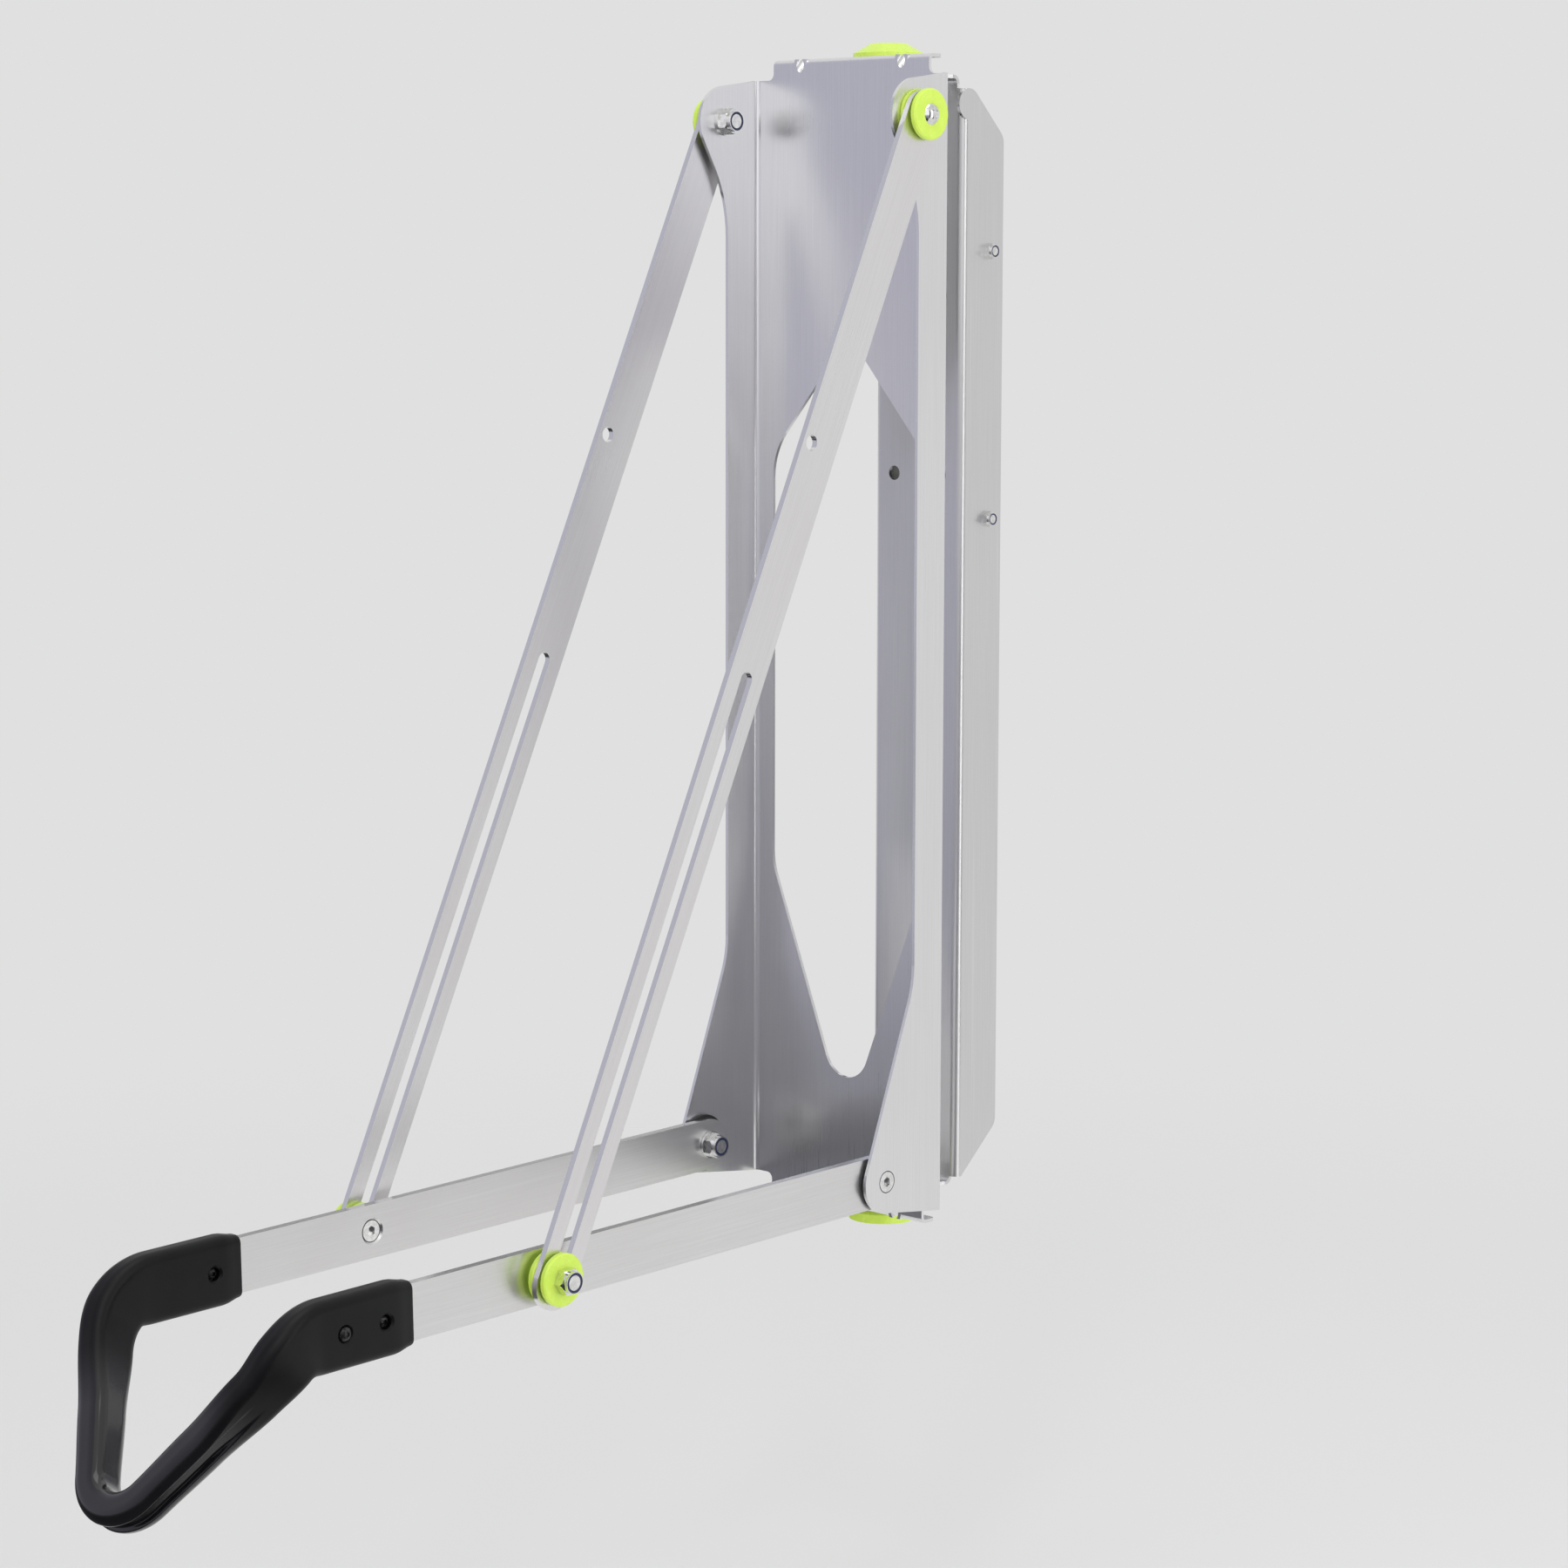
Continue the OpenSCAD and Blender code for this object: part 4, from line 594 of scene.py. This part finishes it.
rows, polish = loop_surface()
loop_mesh = grid_mesh("loop", to_rack(rows))
polished = loop_mesh.attributes.new("polish", "FLOAT", "POINT")
polished.data.foreach_set("value", np.repeat(polish, rows.shape[1]).astype(np.float32))
clean_mesh(loop_mesh)
loop = bpy.data.objects.new("loop", loop_mesh)
bpy.context.collection.objects.link(loop)
for at_y, face_way in ((SCREW_AT, OUTER_FACE), (SCREW_AT, INNER_FACE), (SECOND_SCREW_AT, OUTER_FACE)):
    for side_way in (RIGHT, LEFT):
        cut_hole(loop, screw_hole(at_y, face_way, side_way))
clean_mesh(loop.data)

LOOP_DARK, LOOP_LIGHT = (0.004, 0.004, 0.005), (0.007, 0.007, 0.008)
SKIN_WAVES, FLOW_WAVES = 1500.0, 30.0
SATIN_ROUGHNESS, POLISH_SMOOTHS, FLOW_ROUGHENS = 0.38, 0.17, 0.14
black_plastic, tree, shader, place = new_material("black_plastic")
skin = noise(tree, place["Object"], SKIN_WAVES, detail=2.0)
flow = noise(tree, place["Object"], FLOW_WAVES, detail=3.0)
gloss = add_node(tree, "Attribute", attribute_name="polish").outputs["Fac"]
rough = calc(tree, "MULTIPLY_ADD", gloss, -POLISH_SMOOTHS, SATIN_ROUGHNESS)
rough = calc(tree, "MULTIPLY_ADD", calc(tree, "SUBTRACT", flow, 0.5), FLOW_ROUGHENS, rough)
colour = two_tone(tree, ramp(tree, flow, *NOISE_RANGE), opaque(LOOP_DARK), opaque(LOOP_LIGHT))
feed(tree, shader, colour, rough, skin, depth=0.00004)
shader.inputs["Specular IOR Level"].default_value = 0.22
shader.inputs["Coat Roughness"].default_value = 0.10
tree.links.new(gloss, shader.inputs["Coat Weight"])
loop.data.materials.clear()
loop.data.materials.append(black_plastic)
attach(loop, "arms")
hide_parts("wheel_loop")

# Screws in the sleeves
# Black coated steel screws hold the sleeves on the arms, two on each side.
# The coating is worn to a lighter tone in small patches.
COAT_DARK, COAT_WORN = (0.02, 0.02, 0.022), (0.09, 0.09, 0.09)
WORN_WAVES, WORN_RANGE = 700.0, (0.45, 0.7)
COAT_SMOOTHEST, COAT_ROUGHEST = 0.28, 0.4
black_coat, tree, shader, place = new_material("black_coat")
worn = noise(tree, place["Object"], WORN_WAVES, detail=3.0)
colour = two_tone(tree, ramp(tree, worn, *WORN_RANGE), opaque(COAT_DARK), opaque(COAT_WORN))
rough = ramp(tree, worn, *NOISE_RANGE, COAT_SMOOTHEST, COAT_ROUGHEST)
feed(tree, shader, colour, rough, worn, depth=0.00005)
shader.inputs["Metallic"].default_value = 0.6
dress(black_coat, "loop_screws")

# Studio
# A pale floor below the rack, a pale surround, and soft light: a tall soft
# box on the right, one overhead, and a graded card in front that is pale
# above and dark below, which gives the satin steel its tones.
PALE = (0.745, 0.745, 0.745)
world = bpy.data.worlds.new("studio")
bpy.context.scene.world = world
world.use_nodes = True
world.node_tree.nodes["Background"].inputs["Color"].default_value = opaque(PALE)
bpy.context.scene.view_settings.view_transform = "Standard"


def round_sheet(name, middle, radii, angles, heights, rows, columns):
    """Open sheet round an upright axis, (middle x + r cos a, middle y + r sin a, z). Angles a are in
    degrees. From the first row to the last, r and z go from the first to the second of their values."""
    share = np.linspace(0, 1, rows)[:, None]
    angle = np.radians(np.linspace(*angles, columns))
    radius = radii[0] + share * (radii[1] - radii[0])
    height = np.broadcast_to(heights[0] + share * (heights[1] - heights[0]), (rows, columns))
    x, y = middle[0] + radius * np.cos(angle), middle[1] + radius * np.sin(angle)
    mesh = grid_mesh(name, np.stack([x, y, height], axis=-1), closed=False)
    mesh.shade_smooth()
    piece = bpy.data.objects.new(name, mesh)
    bpy.context.collection.objects.link(piece)
    return piece


def new_paint(name):
    """Material with no shader yet, its node tree, its surface socket and its coordinates."""
    material, tree, shader, place = new_material(name)
    tree.nodes.remove(shader)
    return material, tree, tree.nodes["Material Output"].inputs["Surface"], place


# Floor: a round plane whose edge fades into the surround
FLOOR_AT, FLOOR_Z, FLOOR_R, FLOOR_HUB = (0.0, -0.25), -0.75, 2.2, 0.001
FADE_FROM, FADE_TO = 0.7, 2.0
FLOOR_COLOUR = (0.86, 0.86, 0.86)
floor = round_sheet("floor", FLOOR_AT, (FLOOR_HUB, FLOOR_R), (0, 360), (FLOOR_Z, FLOOR_Z), rows=12,
                    columns=65)
floor_paint, tree, surface, place = new_paint("floor_paint")
from_middle = add_node(tree, "VectorMath", {0: place["Object"], 1: (*FLOOR_AT, FLOOR_Z)},
                       operation="DISTANCE").outputs["Value"]
fade = ramp(tree, from_middle, FADE_FROM, FADE_TO)
matt = add_node(tree, "BsdfDiffuse", {"Color": opaque(FLOOR_COLOUR)}).outputs[0]
clear = add_node(tree, "BsdfTransparent").outputs[0]
tree.links.new(add_node(tree, "MixShader", {0: fade, 1: matt, 2: clear}).outputs[0], surface)
floor.data.materials.append(floor_paint)


def show_in_reflections(piece, paint):
    """Paints a sheet that shows only as a reflection in shiny surfaces."""
    piece.visible_camera = piece.visible_shadow = piece.visible_diffuse = False
    piece.data.materials.append(paint)


# Card: part of an upright cylinder in front of the rack, from the left to
# the camera's side, with a dark foot and a brighter right end
STUDIO_MIDDLE, CARD_R, CARD_ANGLES, CARD_HEIGHTS = (0.0, -0.15), 1.35, (-175, -20), (-0.745, 1.3)
FOOT_COLOUR, LEFT_COLOUR = (0.05, 0.05, 0.065), (0.48, 0.48, 0.56)
RIGHT_LOW_COLOUR, RIGHT_COLOUR = (0.30, 0.30, 0.34), (1.05, 1.05, 1.07)
FOOT_RANGE, RIGHT_RANGE, LEFT_TO_RIGHT = (-0.74, -0.55), (-0.28, 0.1), (-0.3, 0.8)
card = round_sheet("card", STUDIO_MIDDLE, (CARD_R, CARD_R), CARD_ANGLES, CARD_HEIGHTS, rows=3, columns=40)
card_paint, tree, surface, place = new_paint("card_paint")
spot = add_node(tree, "SeparateXYZ", {0: place["Object"]}).outputs
right = two_tone(tree, ramp(tree, spot[2], *RIGHT_RANGE), opaque(RIGHT_LOW_COLOUR), opaque(RIGHT_COLOUR))
upper = two_tone(tree, ramp(tree, spot[0], *LEFT_TO_RIGHT), opaque(LEFT_COLOUR), right)
whole = two_tone(tree, ramp(tree, spot[2], *FOOT_RANGE), opaque(FOOT_COLOUR), upper)
tree.links.new(add_node(tree, "Emission", {"Color": whole}).outputs[0], surface)
show_in_reflections(card, card_paint)

# Flags: dark sheets that deepen the tones of the steel. One lies on the floor
# in front and on the left, one stands behind on the left, and two stand
# beside the right box.
flag_paint, tree, shader, place = new_material("flag_paint")
shader.inputs["Base Color"].default_value = opaque((0.03, 0.03, 0.035))
shader.inputs["Roughness"].default_value = 0.9
for name, radii, angles, heights in (("low_flag", (0.45, 1.30), (162, 335), (-0.742, -0.742)),
                                     ("left_flag", (1.30, 1.30), (112, 158), (-0.08, 0.22)),
                                     ("right_flag", (1.30, 1.30), (10, 24), (-0.70, 1.0)),
                                     ("front_flag", (1.30, 1.30), (-22, -10), (-0.70, 1.0))):
    flag = round_sheet(name, STUDIO_MIDDLE, radii, angles, heights, rows=3, columns=49)
    show_in_reflections(flag, flag_paint)


def soft_box(name, at, aim, size, watts):
    """Soft rectangular lamp that faces a point."""
    lamp = bpy.data.lights.new(name, "AREA")
    lamp.shape = "RECTANGLE"
    lamp.size, lamp.size_y = size
    lamp.energy = watts
    piece = bpy.data.objects.new(name, lamp)
    away = Vector(at) - Vector(aim)
    piece.matrix_world = Matrix.Translation(at) @ away.to_track_quat("Z", "Y").to_matrix().to_4x4()
    piece.visible_camera = False
    bpy.context.collection.objects.link(piece)


soft_box("right_box", at=(1.7, -0.2, 0.1), aim=(0, -0.1, -0.1), size=(1.0, 2.0), watts=7.0)
soft_box("key_box", at=(1.0, -1.5, 1.5), aim=(0, -0.3, -0.2), size=(0.30, 0.60), watts=2.5)
soft_box("top_box", at=(0.1, -0.4, 1.7), aim=(0, -0.15, 0), size=(1.2, 1.2), watts=5.4)
